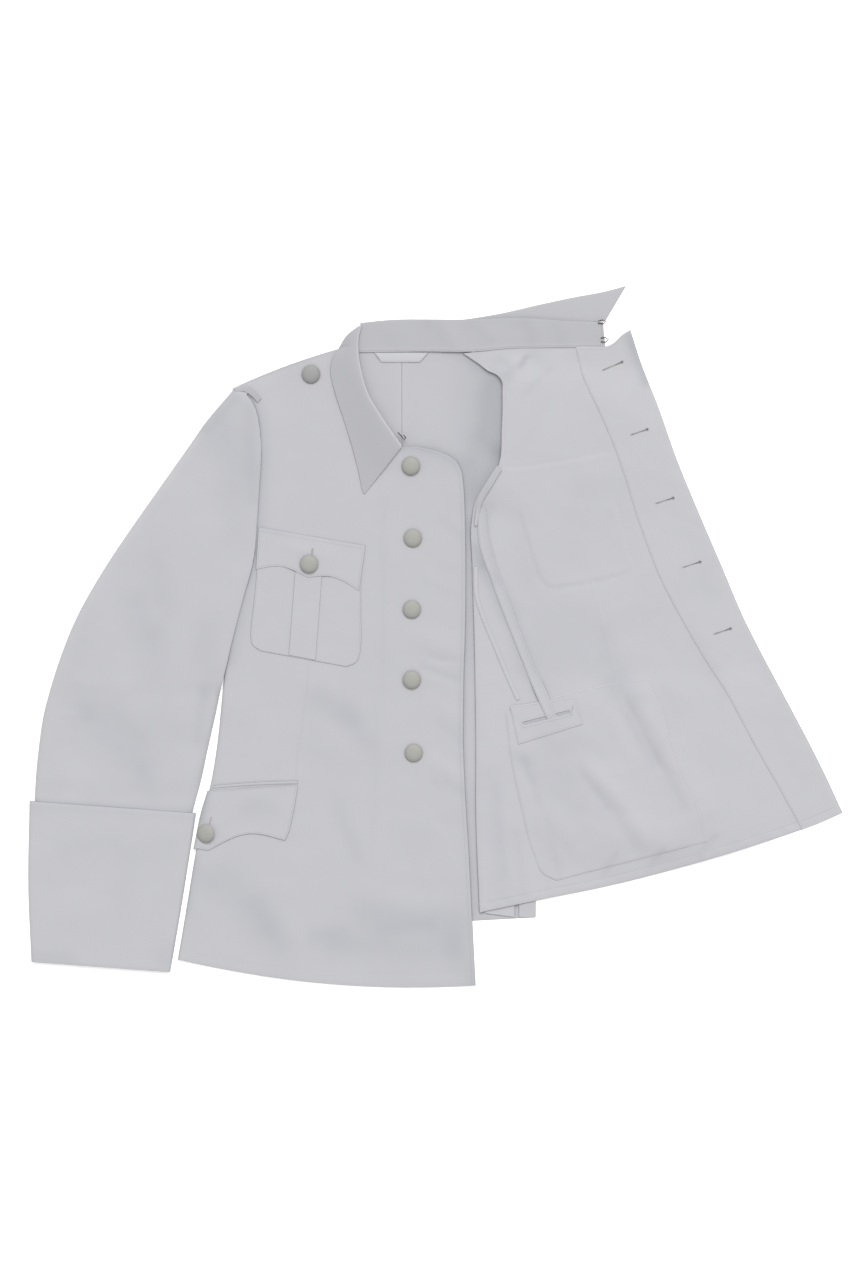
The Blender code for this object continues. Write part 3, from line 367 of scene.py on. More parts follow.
@dataclass(frozen=True)
class RightFrontLay(FrontLay):
    """Height of the right front's middle: high at the side fold and the edge, low at the shoulder."""

    side_height: float = 4.5
    field_height: float = 2.5
    edge_rise: float = 1.6
    side_reach: float = 48
    edge_reach: float = 34
    shoulder_height: float = 1.7
    shoulder_reach: float = 16
    edge_calm: float = 0.6  # share of a fold that is lost at the edge
    folds: Streaks = Streaks((
        (-10, -2, 30, -20, 16, 1.3), (-6, -44, 32, -66, 16, 1.5), (-4, -24, 28, -40, 10, -0.7),
        (-125, -55, -85, -110, 26, 1.4), (-105, -240, -35, -330, 30, 1.5),
        (-215, -250, -160, -330, 26, 1.2), (-70, 20, -40, 90, 24, 0.9)))
    creases: tuple[Crease, ...] = crease_rows(
        (-134, -62, -104, -98, -74, -136, 17, -0.7, 1.4),
        (-112, -160, -98, -205, -82, -250, 13, -0.75, 1.6), (-14, -22, 10, -26, 34, -27, 5, -0.55, 1.5),
        (-14, -36, 8, -42, 34, -50, 5, -0.6, 1.5), (-12, -142, 6, -152, 24, -168, 6, -0.4, 1.4),
        (-8, -196, 14, -204, 36, -205, 7, -0.35, 1), (-148, -318, -118, -322, -86, -316, 9, -0.6, 1.3),
        (-226, -232, -188, -270, -150, -330, 22, -0.55, 1.3),
        (-60, -262, -10, -276, 36, -262, 14, -0.45, 1), (-176, 190, -142, 208, -118, 250, 14, -0.4, 1),
        (-200, -20, -186, -58, -176, -96, 13, -0.4, 1.3), (-64, 122, -46, 84, -44, 40, 12, 0.35, 1),
        (0, 164, 14, 140, 16, 96, 10, -0.35, 1), (-16, 96, 6, 70, 26, 66, 8, -0.35, 1))
    seams: tuple[Seam, ...] = (
        Seam(((-136, -30), (-140, -59), (-146, -107), (-152, -156)), depth=0.5, step=0.25),
        Seam(((-52, 152), (-51.5, 40), (-51.5, -120), (-53, -220), (-55, -314)),
             depth=0.14, width=1.6, step=-0.3))
    waviness: tuple[Unevenness, ...] = (Unevenness(3, 62, 0.16), Unevenness(4, 21, 0.035))

    def form(self, x: Array, y: Array) -> Array:
        """Blend of side, field and edge heights plus soft folds, rounded down to the shoulder."""
        side = smooth(RIGHT_SIDE.off(x, y) / self.side_reach)
        edge = 1 - smooth(RIGHT_EDGE.off(x, y) / self.edge_reach)
        field = self.field_height + self.edge_rise * edge
        field = field + self.folds.at(x, y) * (1 - self.edge_calm * edge)
        lying = self.side_height + (field - self.side_height) * side
        turn = rounded(distance(x, y, SHOULDER) / self.shoulder_reach)
        return self.shoulder_height + (lying - self.shoulder_height) * turn


@dataclass(frozen=True)
class OpenFrontLay(FrontLay):
    """Height of the opened left front's middle, over the fold, the hidden sleeve and its cuff."""

    neck_height: float = 3.4
    neck_reach: float = 38
    neck_calm: float = 12  # creases fade out this close to the neck
    armhole_height: float = 7
    armhole_reach: float = 40
    fold_height: float = 2.85
    fold_side: float = 128  # x up to which the cloth stays that high
    foot: float = 0.9  # height where nothing lies below
    blend: float = 75  # how far the cloth takes to come down
    margin: float = 2  # how far it stays up beyond what lies below
    full_ridge: float = 3  # lift from which a ridge has its whole height
    hidden: Table = (
        # from x, y, to x, y, half width, height
        (102, 218, 175, 196, 50, 6.7), (182, 165, 200, 105, 66, 5.9),
        (207, 100, 228, -132, 75, 4.9))
    cuff: tuple[float, ...] = (232, -138, 76, 62, 7.2)  # centre x, y, half sizes, height
    ridges: Streaks = Streaks((
        (218, -66, 290, -186, 17, 2.2), (168, -142, 247, -224, 15, 1.9), (126, 300, 96, 258, 17, 1.4),
        (336, -96, 372, -180, 22, 0.7), (240, 60, 286, -20, 24, 0.9), (98, -150, 130, -222, 18, 1)))
    creases: tuple[Crease, ...] = crease_rows(
        (198, -56, 214, -86, 232, -120, 250, -156, 5, -1.25, 1.8),
        (212, -62, 236, -96, 260, -140, 282, -182, 8, 0.7, 1.3),
        (153, -143, 180, -176, 204, -200, 8, -0.85, 1.6),
        (176, -92, 196, -128, 214, -160, 226, -186, 9, -0.4, 1.3),
        (128, -110, 140, -148, 160, -176, 10, -0.4, 1.4), (110, -178, 126, -214, 150, -246, 8, -0.75, 1.4),
        (88, -128, 99, -150, 111, -170, 7, -0.9, 1.4), (130, -150, 150, -196, 176, -250, 12, -0.6, 1),
        (104, -196, 110, -236, 122, -284, 7, -0.7, 1.5), (196, -234, 188, -246, 180, -260, 4, -0.6, 1.4),
        (246, -229, 238, -240, 231, -252, 4, -0.6, 1.4), (304, -214, 294, -224, 284, -236, 4, -0.6, 1.4),
        (186, -176, 206, -214, 222, -256, 9, -0.45, 1.4), (98, 296, 88, 284, 78, 272, 5, -0.9, 1.6),
        (105, 305, 97, 299, 92, 289, 4, -1.1, 1.5), (70, 281, 79, 288, 87, 296, 94, 304, 5.5, 1.2, 1.9),
        (48, 297, 60, 293, 72, 292, 84, 299, 6, -0.6, 1), (150, 292, 132, 262, 124, 236, 13, -0.45, 1.4),
        (176, 300, 160, 262, 166, 228, 12, -0.35, 1), (356, -84, 372, -124, 392, -166, 9, -0.5, 1.4),
        (330, -70, 344, -100, 352, -128, 8, -0.35, 1), (268, 118, 280, 84, 300, 52, 10, -0.4, 1),
        (222, -16, 236, -52, 258, -84, 11, -0.35, 1), (60, 40, 84, -14, 104, -52, 10, -0.3, 1),
        (56, -92, 62, -160, 72, -232, 11, -0.5, 1.3))
    seams: tuple[Seam, ...] = (
        Seam(((170, 62), (177, 33), (188, -12), (197, -54), (206, -76)), depth=-0.5, step=-0.4),)
    shown_through: tuple[Seam, ...] = (
        Seam(((73, 182), (99, 183), (130, 188), (168, 195), (188, 200)), 0.3, 1.8, -0.35),
        Seam(((90, 141), (98, 112), (105, 89), (112, 68), (116, 60), (122, 55), (130, 53.5),
              (170, 60), (198, 67), (209, 71), (213, 78), (206, 104), (192, 150)), 0.3, 2, 0.65))
    waviness: tuple[Unevenness, ...] = (Unevenness(7, 66, 0.17), Unevenness(8, 20, 0.04))

    def form(self, x: Array, y: Array) -> Array:
        """Fifth-power sum of the heights of what lies below, plus soft ridges; even at the neck."""
        lifts = [self.fold_height * smooth(1 - (x - self.fold_side) / self.blend)]
        for x0, y0, x1, y1, half_width, height in self.hidden:
            outside = distance(x, y, ((x0, y0), (x1, y1))) - half_width - self.margin
            lifts.append(height * smooth(1 - outside / (self.blend - 6)))
        cx, cy, half_x, half_y, height = self.cuff
        outside = np.hypot(np.maximum(abs(x - cx) - half_x, 0), np.maximum(abs(y - cy) - half_y, 0))
        lifts.append(height * smooth(1 - (outside - self.margin) / self.blend))
        lift = sum(part ** 5 for part in lifts) ** 0.2
        lift = lift + self.ridges.at(x, y) * smooth(lift / self.full_ridge)
        low = self.armhole_height - np.minimum(lift, self.armhole_height)
        lift = lift + low * (1 - smooth(distance(x, y, OPEN_ARMHOLE) / self.armhole_reach))
        neck = smooth(OPEN_TOP.off(x, y) / self.neck_reach)
        return self.neck_height + (self.foot + lift - self.neck_height) * neck

    def calm(self, x: Array, y: Array) -> Array:
        """Creases fade out at the neck."""
        return smooth(OPEN_TOP.off(x, y) / self.neck_calm)


@dataclass(frozen=True)
class SleeveLay:
    """Height of the top sleeve's middle: full down its length, round at both edges."""

    full_height: float = 6.6
    in_cuff_height: float = 5.7
    on_body_rise: float = 0.8
    body_height: float = 6.1  # of the inner edge where it lies on the body
    cuff_place: tuple[float, float] = (-148, 26)  # where the sleeve enters the cuff, over how far
    body_place: tuple[float, float] = (-66, 20)  # where the inner edge climbs on the body
    outer_round: float = 9
    inner_round: float = 11
    foot: float = 0.9
    foot_in_cuff: float = 1.5
    folds: Streaks = Streaks((
        (-318, 62, -300, -45, 24, -1.4), (-374, -52, -316, -130, 22, -1.2), (-252, 5, -256, -85, 18, -1),
        (-345, 20, -372, -46, 22, 1)))
    creases: tuple[Crease, ...] = crease_rows(
        (-334, 52, -318, 10, -298, -46, 14, -0.7, 1.8),
        (-406, -70, -360, -92, -316, -116, -306, -172, 17, -0.8, 1.5),
        (-408, -86, -386, -84, -364, -84, 4, 0.35, 1), (-257, 10, -255, -40, -250, -112, 9, -0.7, 1.7),
        (-268, 190, -238, 150, -222, 92, 17, -0.6, 1.3), (-300, 150, -282, 100, -280, 50, 15, 0.5, 1),
        (-352, 60, -372, 10, -376, -40, 13, 0.5, 1.4), (-224, 226, -214, 188, -212, 140, 10, 0.35, 1),
        (-420, -110, -388, -132, -350, -140, 12, -0.4, 1))
    waviness: tuple[Unevenness, ...] = (Unevenness(11, 58, 0.2), Unevenness(12, 20, 0.035))

    def full(self, x: Array, y: Array) -> Array:
        """Floor at the outer edge, body or floor at the inner one, full between them."""
        height = self.full_height + self.folds.at(x, y)
        height = height + total_relief([*self.creases, *self.waviness], x, y)
        in_cuff = smooth((self.cuff_place[0] - y) / self.cuff_place[1])
        height = height + (self.in_cuff_height - height) * in_cuff
        floor = self.foot + self.foot_in_cuff * in_cuff
        on_body = smooth((y - self.body_place[0]) / self.body_place[1])
        edge = floor + (self.body_height - floor) * on_body
        full = height + self.on_body_rise * on_body
        height = edge + (full - edge) * rounded(SLEEVE_INNER.off(x, y) / self.inner_round)
        return floor + (height - floor) * rounded(SLEEVE_OUTER.off(x, y) / self.outer_round)


RIGHT_LAY = RightFrontLay()
OPEN_LAY = OpenFrontLay()
SLEEVE_LAY = SleeveLay()


# ---- painted shading
SLEEVE_SHADING = Streaks((
    (-250, 226, -218, 262, 9, -0.085), (-228, 216, -208, 186, 22, -0.06),
    (-200, 250, -196, 150, 9, -0.05), (-346, -78, -318, -110, 10, -0.03), (-300, 5, -290, 20, 10, -0.02),
    (-258, -26, -258, -14, 9, -0.025), (-222, 150, -214, 120, 18, -0.025),
    (-302, 84, -290, 40, 14, -0.03), (-325, 36, -302, -30, 18, -0.045), (-400, -68, -374, -80, 10, -0.02),
    (-374, -84, -316, -142, 19, -0.065), (-316, -142, -306, -172, 10, -0.03),
    (-250, -58, -256, -110, 8, -0.055), (-246, 0, -240, -44, 16, -0.03),
    (-296, -84, -282, -96, 18, -0.035), (-436, -178, -264, -187, 4, -0.05),
    (-392, -166, -388, -160, 12, 0.03), (-352, -56, -338, -52, 14, 0.02),
    (-276, 160, -256, 140, 22, 0.012), (-372, 20, -392, -40, 12, -0.015)))
CUFF_SHADING = Streaks((
    (-436, -182, -262, -192, 7, -0.03), (-432, -345, -396, -347, 8, -0.05),
    (-340, -300, -330, -240, 16, -0.012), (-400, -230, -350, -222, 14, -0.02),
    (-330, -232, -290, -228, 16, -0.02), (-292, -340, -290, -350, 9, -0.03),
    (-420, -290, -360, -284, 18, 0.008)))
RIGHT_SHADING = Streaks((
    (-106, 314, -94, 292, 12, -0.07), (-156, 294, -142, 286, 14, -0.025),
    (-125, -68, -88, -90, 14, -0.05), (-95, -76, -74, -112, 12, -0.04), (-233, -70, -245, -160, 7, -0.05),
    (-251, -164, -260, -216, 8, -0.08), (-262, -240, -271, -292, 8, -0.085),
    (-228, -258, -182, -312, 22, -0.045), (-192, -290, -166, -332, 15, -0.05),
    (-252, -258, -244, -266, 10, -0.035), (-106, -188, -84, -238, 10, -0.045),
    (-62, -60, -66, -200, 8, -0.015), (-249, -166, -254, -196, 6, -0.12),
    (-110, -332, 20, -338, 14, -0.05), (-132, -325, -100, -322, 9, -0.06),
    (-72, -300, 20, -310, 18, -0.07), (-56, -316, -8, -312, 10, -0.045),
    (-28, -216, -10, -214, 14, -0.025), (20, -330, 42, -372, 15, -0.045), (-36, 204, -8, 204, 6, -0.05),
    (-8, 203, 26, 186, 6, -0.04), (-12, -30, 22, -46, 6, -0.06), (-6, -62, 30, -80, 8, 0.035),
    (0, -130, 32, -148, 8, 0.035), (0, -156, 34, -168, 6, -0.04), (-56, 150, -56, -60, 5, -0.02),
    (-148, 132, -132, 128, 14, -0.018), (-190, -140, -176, -90, 20, 0.008),
    (-140, -112, -118, -132, 14, -0.02), (4, -92, 30, -112, 7, -0.03), (-200, 120, -120, 96, 4, -0.02),
    (8, 126, 28, 110, 6, -0.03), (-10, 60, 24, 44, 5, -0.02), (-40, -250, 20, -256, 9, 0.01),
    (-198, -184, -184, -186, 12, -0.045)))
OPEN_SHADING = Streaks((
    (70, 300, 80, 292, 6, -0.06), (62, 290, 80, 278, 6, -0.05), (98, 301, 93, 292, 3, -0.1),
    (108, 302, 124, 290, 9, -0.04), (96, 250, 126, 274, 14, 0.02), (158, 160, 200, 160, 16, -0.03),
    (136, 104, 146, 96, 20, -0.025), (96, 20, 150, 8, 28, -0.028), (96, -20, 172, -30, 22, -0.035),
    (184, 0, 188, -20, 10, -0.035), (200, -40, 212, -66, 13, -0.055), (188, -50, 194, -60, 9, -0.045),
    (55, -150, 74, -282, 14, -0.03), (90, -130, 100, -132, 11, -0.055),
    (112, -150, 152, -182, 18, -0.035), (150, -112, 176, -126, 13, -0.035),
    (178, -168, 202, -182, 11, -0.025), (210, -86, 238, -134, 6, -0.06), (252, -132, 284, -188, 9, 0.02),
    (170, -148, 236, -222, 9, 0.02), (44, 96, 72, 42, 7, -0.085), (74, 36, 94, -20, 7, -0.06),
    (96, -36, 110, -54, 8, -0.055), (288, 60, 304, 48, 9, -0.035), (354, -30, 366, -40, 10, -0.025),
    (276, 10, 312, -62, 7, -0.03), (212, 324, 230, 278, 8, -0.15), (60, 142, 52, 128, 8, -0.07),
    (240, -124, 269, -182, 5, -0.035), (190, -75, 215, -125, 7, 0.02), (158, -140, 186, -184, 6, -0.035),
    (186, -184, 226, -230, 6, -0.025), (172, -134, 232, -212, 7, 0.025), (96, -130, 112, -178, 4, -0.04),
    (66, -160, 74, -256, 6, -0.03), (120, -200, 135, -256, 5, -0.035), (196, -234, 182, -258, 3.5, -0.05),
    (246, -229, 232, -250, 3.5, -0.05), (304, -214, 286, -236, 3.5, -0.045),
    (88, -210, 96, -280, 5, -0.03), (112, 236, 90, 200, 10, -0.012), (140, 150, 90, 150, 9, 0.012),
    (90, 130, 100, 60, 12, -0.02), (46, 130, 52, 80, 9, -0.08), (50, 75, 78, 30, 12, -0.07),
    (84, 20, 112, -55, 7, -0.05), (120, -110, 140, -150, 12, -0.03), (248, -60, 262, -84, 12, -0.02),
    (150, 262, 176, 236, 12, -0.012), (96, 262, 122, 288, 4, -0.03)))
STRAP_SHADING = Streaks((
    (50, 136, 66, 63, 7, -0.05), (66, 63, 112, -50, 6, -0.04), (68, 180, 48, 142, 6, -0.06)))
STAND_SHADING = Streaks((
    (-8, 338, 14, 314, 7, -0.035), (14, 336, 30, 318, 7, 0.025), (96, 340, 106, 316, 7, -0.035),
    (60, 332, 90, 326, 8, 0.02), (130, 336, 140, 318, 8, -0.03), (-66, 330, -40, 318, 9, -0.02),
    (40, 338, 60, 322, 6, -0.025)))
BACK_SHADING = Streaks((
    (20, 309, 46, 296, 7, -0.04), (46, 296, 70, 280, 9, -0.06), (70, 278, 71, 196, 7, -0.04),
    (68, 196, 44, 150, 10, -0.08), (34, 180, 40, 120, 12, -0.07), (40, 120, 41, 20, 10, -0.06),
    (41, 0, 42, -30, 10, -0.03), (42, -60, 44, -150, 10, 0.03), (44, -160, 46, -300, 10, -0.01),
    (-36, 300, -36, 216, 5, 0.025), (-40, 214, -4, 206, 7, -0.03), (4, 200, 34, 190, 8, -0.04),
    (60, 270, 64, 200, 10, -0.07), (45, 215, 42, 165, 12, -0.06), (52, -309, 84, -309, 3, -0.35),
    (46, 262, 50, 214, 5, -0.03), (-20, 268, -8, 240, 14, 0.01)))


# ---- grids
def rows_with(count: int, extra: Array, apart: float = 0.0016) -> Array:
    """Even shares from 0 to 1 with extra ones, where no even one lies close to an extra one."""
    even = shares(count)
    free = np.abs(even[:, None] - extra[None, :]).min(axis=1) > apart
    return np.unique(np.concatenate([even[free], extra, [0, 1]]))


def between(left: Array, right: Array, across: Array, bow: tuple[float, float] = (0, 0),
            down: Array | None = None) -> Array:
    """Rows of points from a left edge to a right edge.

    Args:
        left: a point for each row.
        right: a point for each row.
        across: shares across, one row for all or a row for each.
        bow: how far the middle of the first and of the last row is moved along Y.
        down: share down of each row; even ones if None.

    Returns:
        Grid of points, rows x columns x 2.
    """
    spread = np.broadcast_to(across, (len(left), np.shape(across)[-1]))
    points = left[:, None] * (1 - spread[:, :, None]) + right[:, None] * spread[:, :, None]
    down = (shares(len(left)) if down is None else down)[:, None]
    points[:, :, 1] += (bow[0] * (1 - down) + bow[1] * down) * 4 * spread * (1 - spread)
    return points


def with_height(points: Array, height: Height) -> Array:
    """Adds z to a grid of places."""
    return np.dstack([points, height(points[:, :, 0], points[:, :, 1])])


def laid(left: Edge, right: Edge, rows: int, columns: int, height: Height,
         bow: tuple[float, float] = (0, 0)) -> Array:
    """An even grid of cloth between two edges, with its height."""
    down = shares(rows)
    return with_height(between(left.at(down), right.at(down), shares(columns), bow), height)


def roll_edges(grid: Array, drop: float, reach: float, sides: str = "tblr") -> Array:
    """Lets free edges turn down, so that the piece looks as thick as its turned edge.

    z falls by drop times (1 - quarter circle of distance over reach).

    Args:
        grid: rows x columns x 3.
        drop: how far the edge turns down.
        reach: how far in the turn starts.
        sides: which edges are free: t for the first row, b for the last, l and r for the columns.

    Returns:
        The changed grid.
    """
    across, down = run_lengths(grid, 1), run_lengths(grid)
    places = {"l": across, "r": across[:, -1:] - across, "t": down, "b": down[-1:] - down}
    near = np.min([places[side] for side in sides], axis=0)
    grid = grid.copy()
    grid[:, :, 2] -= drop * (1 - rounded(near / reach))
    return grid


def refine_edges(grid: Array, inset: float, closed: bool) -> Array:
    """Adds a line of points close inside each edge, so that the edge's rounding stays narrow."""
    for axis in (0,) if closed else (0, 1):
        lines = np.moveaxis(grid, axis, 0)
        ways = (lines[1] - lines[0], lines[-2] - lines[-1])
        head, tail = ((edge + way * np.minimum(inset / np.linalg.norm(way, axis=-1)[..., None], 0.5))[None]
                      for edge, way in zip((lines[0], lines[-1]), ways))
        lines = np.concatenate([lines[:1], head, lines[1:-1], tail, lines[-1:]])
        grid = np.moveaxis(lines, 0, axis)
    return grid


def seam_columns(face: Callable[[Array, Array], Array], down: Array, seams: Sequence[Seam],
                 cells: Sequence[int], tight: float = 1.1) -> Array:
    """Shares across for each row, so that a column runs along each seam with one close on each side.

    Args:
        face: places on the piece from shares down and shares across.
        down: the rows.
        seams: lines that run down the piece, from left to right.
        cells: cells before the first seam, between seams and after the last.
        tight: distance of the close columns from the seam.

    Returns:
        Array of rows x columns.
    """
    tries = shares(81)
    places = face(down, tries)
    width = run_lengths(places, 1)[:, -1]
    rows = np.arange(len(down))
    stops = [np.zeros(len(down))]
    for seam in seams:
        path = np.array(sorted(seam.path, key=lambda point: point[1]), float)
        y = places[:, :, 1]
        off = places[:, :, 0] - np.interp(y, path[:, 1], path[:, 0])
        k = np.clip(np.argmax(off > 0, axis=1), 1, len(tries) - 1)
        before, after = off[rows, k - 1], off[rows, k]
        share = tries[k - 1] + (tries[k] - tries[k - 1]) * before / (before - after)
        crossing = y[rows, k]
        held = (crossing >= path[0, 1]) & (crossing <= path[-1, 1]) & (after > 0)
        stops.append(np.interp(down, down[held], share[held]))
    stops.append(np.ones(len(down)))
    gap = tight / width
    columns = []
    for index, count in enumerate(cells):
        start = stops[index] + (gap if index > 0 else 0)
        end = stops[index + 1] - (gap if index < len(cells) - 1 else 0)
        if index > 0:
            columns.append(stops[index][:, None])
        share = shares(count + 1)[None, :]
        columns.append(start[:, None] * (1 - share) + end[:, None] * share)
    return np.concatenate(columns, axis=1)


@dataclass(frozen=True)
class FoldedPanel:
    """A big piece whose fold edge turns over into a strip on its other side."""

    fold: Edge
    far: Edge
    height: Height
    strip: Table  # share down, width, height, turned (1 where only turned under)
    reach: float  # how far in the fold takes to round over
    fall: float = 0  # how much the strip's lines rise per millimetre at the hem
    bow: tuple[float, float] = (0, 0)
    top: Edge | None = None
    foot: Edge | None = None
    turn: float = 1.8  # drop of an edge that is only turned under

    def _strip(self, down: Array, index: int) -> Array:
        """Straight runs through the strip's rows."""
        table = np.array(self.strip, float)
        return np.interp(down, table[:, 0], table[:, index])

    def _rows(self, down: Array) -> tuple[Array, Array, Array, Array]:
        """Fold points, the way in from them, far points, and level size of the rounding."""
        fold, far, turned = self.fold.at(down), self.far.at(down), self._strip(down, 3)
        inward = (far - fold) / np.linalg.norm(far - fold, axis=1)[:, None]
        return fold, inward, far, self.reach * (1 - turned) + self.turn / 2 * turned

    def _ends(self, down: Array) -> tuple[Array, Array]:
        """Where the face begins and ends on each row."""
        fold, inward, far, reach = self._rows(down)
        return fold + inward * (reach[:, None] + PANEL / 2), far

    def face(self, down: Array, across: Array) -> Array:
        """Places on the face, from the end of the rounding to the far edge, bowed to its ends."""
        points = between(*self._ends(down), across, self.bow, down)
        if self.top is None or self.foot is None:
            return points
        spread, drop = np.broadcast_to(across, points.shape[:2]), down[:, None, None]
        start, far = self._ends(np.array([0, 1]))
        for edge, row, share in ((self.top, 0, (1 - drop) ** 4), (self.foot, 1, drop ** 3)):
            bend = edge.at(spread) - start[row] - (far[row] - start[row]) * spread[:, :, None]
            bend = bend - (edge.at(0) - start[row]) * (1 - spread[:, :, None])
            points = points + bend * share
        return points

    def strip_place(self, down: Array, width: Array) -> Array:
        """Places on the strip, or past its end, at the given width from the fold."""
        fold, inward, _, _ = self._rows(down)
        way = np.sign(inward[:, :1]) * np.array([[1, 0]])
        way[:, 1] = self.fall * down
        return fold + inward * (PANEL / 2) + way * width[:, None]

    def strip_end(self, down: Array, beyond: float) -> Array:
        """Places just past the end of the strip."""
        return self.strip_place(down, self._strip(down, 1) + beyond)

    def grid(self, down: Array, across: Array, strip_cells: int) -> Array:
        """The whole piece: strip, rounding, then face, as rows x columns x 3."""
        fold, inward, _, reach = self._rows(down)
        face = with_height(self.face(down, across), self.height)
        width, low, turned = (self._strip(down, index) for index in (1, 2, 3))
        under = self.height(*(fold + inward * (self.reach + 0.5)).T) - self.turn
        low = np.maximum(low, low * (1 - turned) + under * turned)
        top = face[:, 0, 2]
        columns = [np.column_stack([self.strip_place(down, width * share), low])
                   for share in shares(strip_cells + 1, 1, 0)[:-1]]
        for angle in shares(TURNS + 1, -math.pi / 2, math.pi / 2)[:-1]:
            out = reach * (1 - math.cos(angle)) + PANEL / 2
            height = (top + low) / 2 + (top - low) / 2 * math.sin(angle)
            columns.append(np.column_stack([fold + inward * out[:, None], height]))
        return np.concatenate([np.stack(columns, axis=1), face], axis=1)


# ---- shells
@dataclass
class Surface:
    """Corners, four-cornered faces and a flat map of a mesh that is still to be made."""

    corners: Array
    quads: Array
    flat: Array
    edge: Array | None = None  # mask for painted shade on the rim: 1 there and 0 inside


def wrapped(grid: Array, closed: bool) -> Array:
    """The grid with its first column repeated at its end where it is closed."""
    return np.concatenate([grid, grid[:, :1]], axis=1) if closed else grid


def grid_quads(index: Array) -> Array:
    """Faces of a grid of corner numbers: a corner, its right one, the one below that, the one below."""
    corners = [index[:-1, :-1], index[:-1, 1:], index[1:, 1:], index[1:, :-1]]
    return np.stack(corners, axis=-1).reshape(-1, 4)


def grid_normals(grid: Array, closed: bool) -> Array:
    """Unit normals of a grid: the way down crossed with the way across."""
    across = np.gradient(grid, axis=1)
    if closed:
        across = (np.roll(grid, -1, axis=1) - np.roll(grid, 1, axis=1)) / 2
    normal = np.cross(np.gradient(grid, axis=0), across)
    return normal / np.maximum(np.linalg.norm(normal, axis=2, keepdims=True), TINY)


def rim_shade_weight(grid: Array, closed: bool) -> Array:
    """Mask for painted shade on a grid's border: 1 there, 0 inside; below 0, painted light, where it faces
    -Y.
    """
    weight = np.zeros(grid.shape[:2])
    for axis in (0,) if closed else (0, 1):
        lines, marks = np.moveaxis(grid, axis, 0), np.moveaxis(weight, axis, 0)
        for border, inner in ((0, 1), (-1, -2)):
            out = lines[border] - lines[inner]
            lower = np.clip(-out[:, 1] / np.maximum(np.linalg.norm(out, axis=1), TINY), 0, 1)
            marks[border] = 1 - 1.5 * lower
    return weight


def shell(grid: Array, wall: float, closed: bool = False) -> Surface:
    """A closed wall of cloth round a grid of middle points, with a softly rounded rim.

    Args:
        grid: middle points, rows x columns x 3.
        wall: thickness.
        closed: True where the last column joins the first.

    Returns:
        The outer side, the inner side and the rim, no corner lower than the floor.
    """
    if not closed and grid_normals(grid, False)[:, :, 2].mean() < 0:
        grid = grid[:, ::-1]
    grid = refine_edges(grid, RIM_CELL * wall, closed)
    rows, columns, _ = grid.shape
    count = rows * columns
    line = grid.copy()
    line[0] += RIM_DRAWN * (grid[1] - grid[0])
    line[-1] += RIM_DRAWN * (grid[-2] - grid[-1])
    if not closed:
        line[:, 0] += RIM_DRAWN * (line[:, 1] - line[:, 0])
        line[:, -1] += RIM_DRAWN * (line[:, -2] - line[:, -1])
    out = grid_normals(grid, closed) * wall / 2
    index = np.arange(count).reshape(rows, columns)
    back = grid_quads(wrapped(index, closed))
    if closed:
        loops = [index[0, ::-1], index[-1]]
    else:
        loops = [np.concatenate([index[:-1, 0], index[-1, :-1], index[:0:-1, -1], index[0, :0:-1]])]
    corners = [(line + out).reshape(-1, 3), (line - out).reshape(-1, 3)]
    quads, start = [back[:, [0, 3, 2, 1]], back + count], 2 * count
    for loop in loops:
        rim = start + np.arange(len(loop))
        corners.append(grid.reshape(-1, 3)[loop])
        after, rim_after = np.roll(loop, -1), np.roll(rim, -1)
        quads.append(np.stack([after, loop, rim, rim_after], axis=-1))
        quads.append(np.stack([rim_after, rim, loop + count, after + count], axis=-1))
        start += len(loop)
    places = np.concatenate(corners)
    places[:, 2] = np.maximum(places[:, 2], 0)
    chart = np.dstack([run_lengths(grid, 1), run_lengths(grid)]).reshape(-1, 2)
    flat, edge = (np.concatenate([values, values, *[values[loop] for loop in loops]])
                  for values in (chart, rim_shade_weight(grid, closed).ravel()))
    return Surface(places, np.concatenate(quads), flat, edge)


def grid_area(grid: Array) -> float:
    """Area of a grid of points, in its unit squared."""
    first, second = grid[1:, 1:] - grid[:-1, :-1], grid[:-1, 1:] - grid[1:, :-1]
    return float(np.linalg.norm(np.cross(first, second), axis=2).sum() / 2)


def edge_line(grid: Array, side: str, inset: float, trim: tuple[float, float] = (0, 0)) -> Array:
    """A line on a grid at an even distance from one of its sides.

    Args:
        grid: middle points, rows x columns x 3.
        side: t for the first row, b for the last, l and r for the columns.
        inset: distance from the side.
        trim: how much is left off at the line's start and end.

    Returns:
        Points of the line.
    """
    lines = {"t": grid, "b": grid[::-1], "l": grid.swapaxes(0, 1), "r": grid.swapaxes(0, 1)[::-1]}[side]
    run = run_lengths(lines)
    k = np.clip((run < inset).sum(axis=0), 1, len(lines) - 1)
    place = np.arange(lines.shape[1])
    share = (inset - run[k - 1, place]) / np.maximum(run[k, place] - run[k - 1, place], 1e-6)
    line = lines[k - 1, place] + (lines[k, place] - lines[k - 1, place]) * share[:, None]
    return cut_line(line, *trim)


def cut_line(line: Array, start: float = 0, end: float = 0) -> Array:
    """The line without its first and last stretch, in even steps of about a millimetre."""
    length = run_lengths(line)[-1]
    return along_line(line, shares(max(3, int(length - start - end)), start, length - end))


def on_cloth(path: Table | Array, height: Height, lift: float = 0) -> Array:
    """A line of places laid on cloth, in even steps."""
    line = cut_line(np.array(path, float))
    return np.column_stack([line, height(line[:, 0], line[:, 1]) + lift])


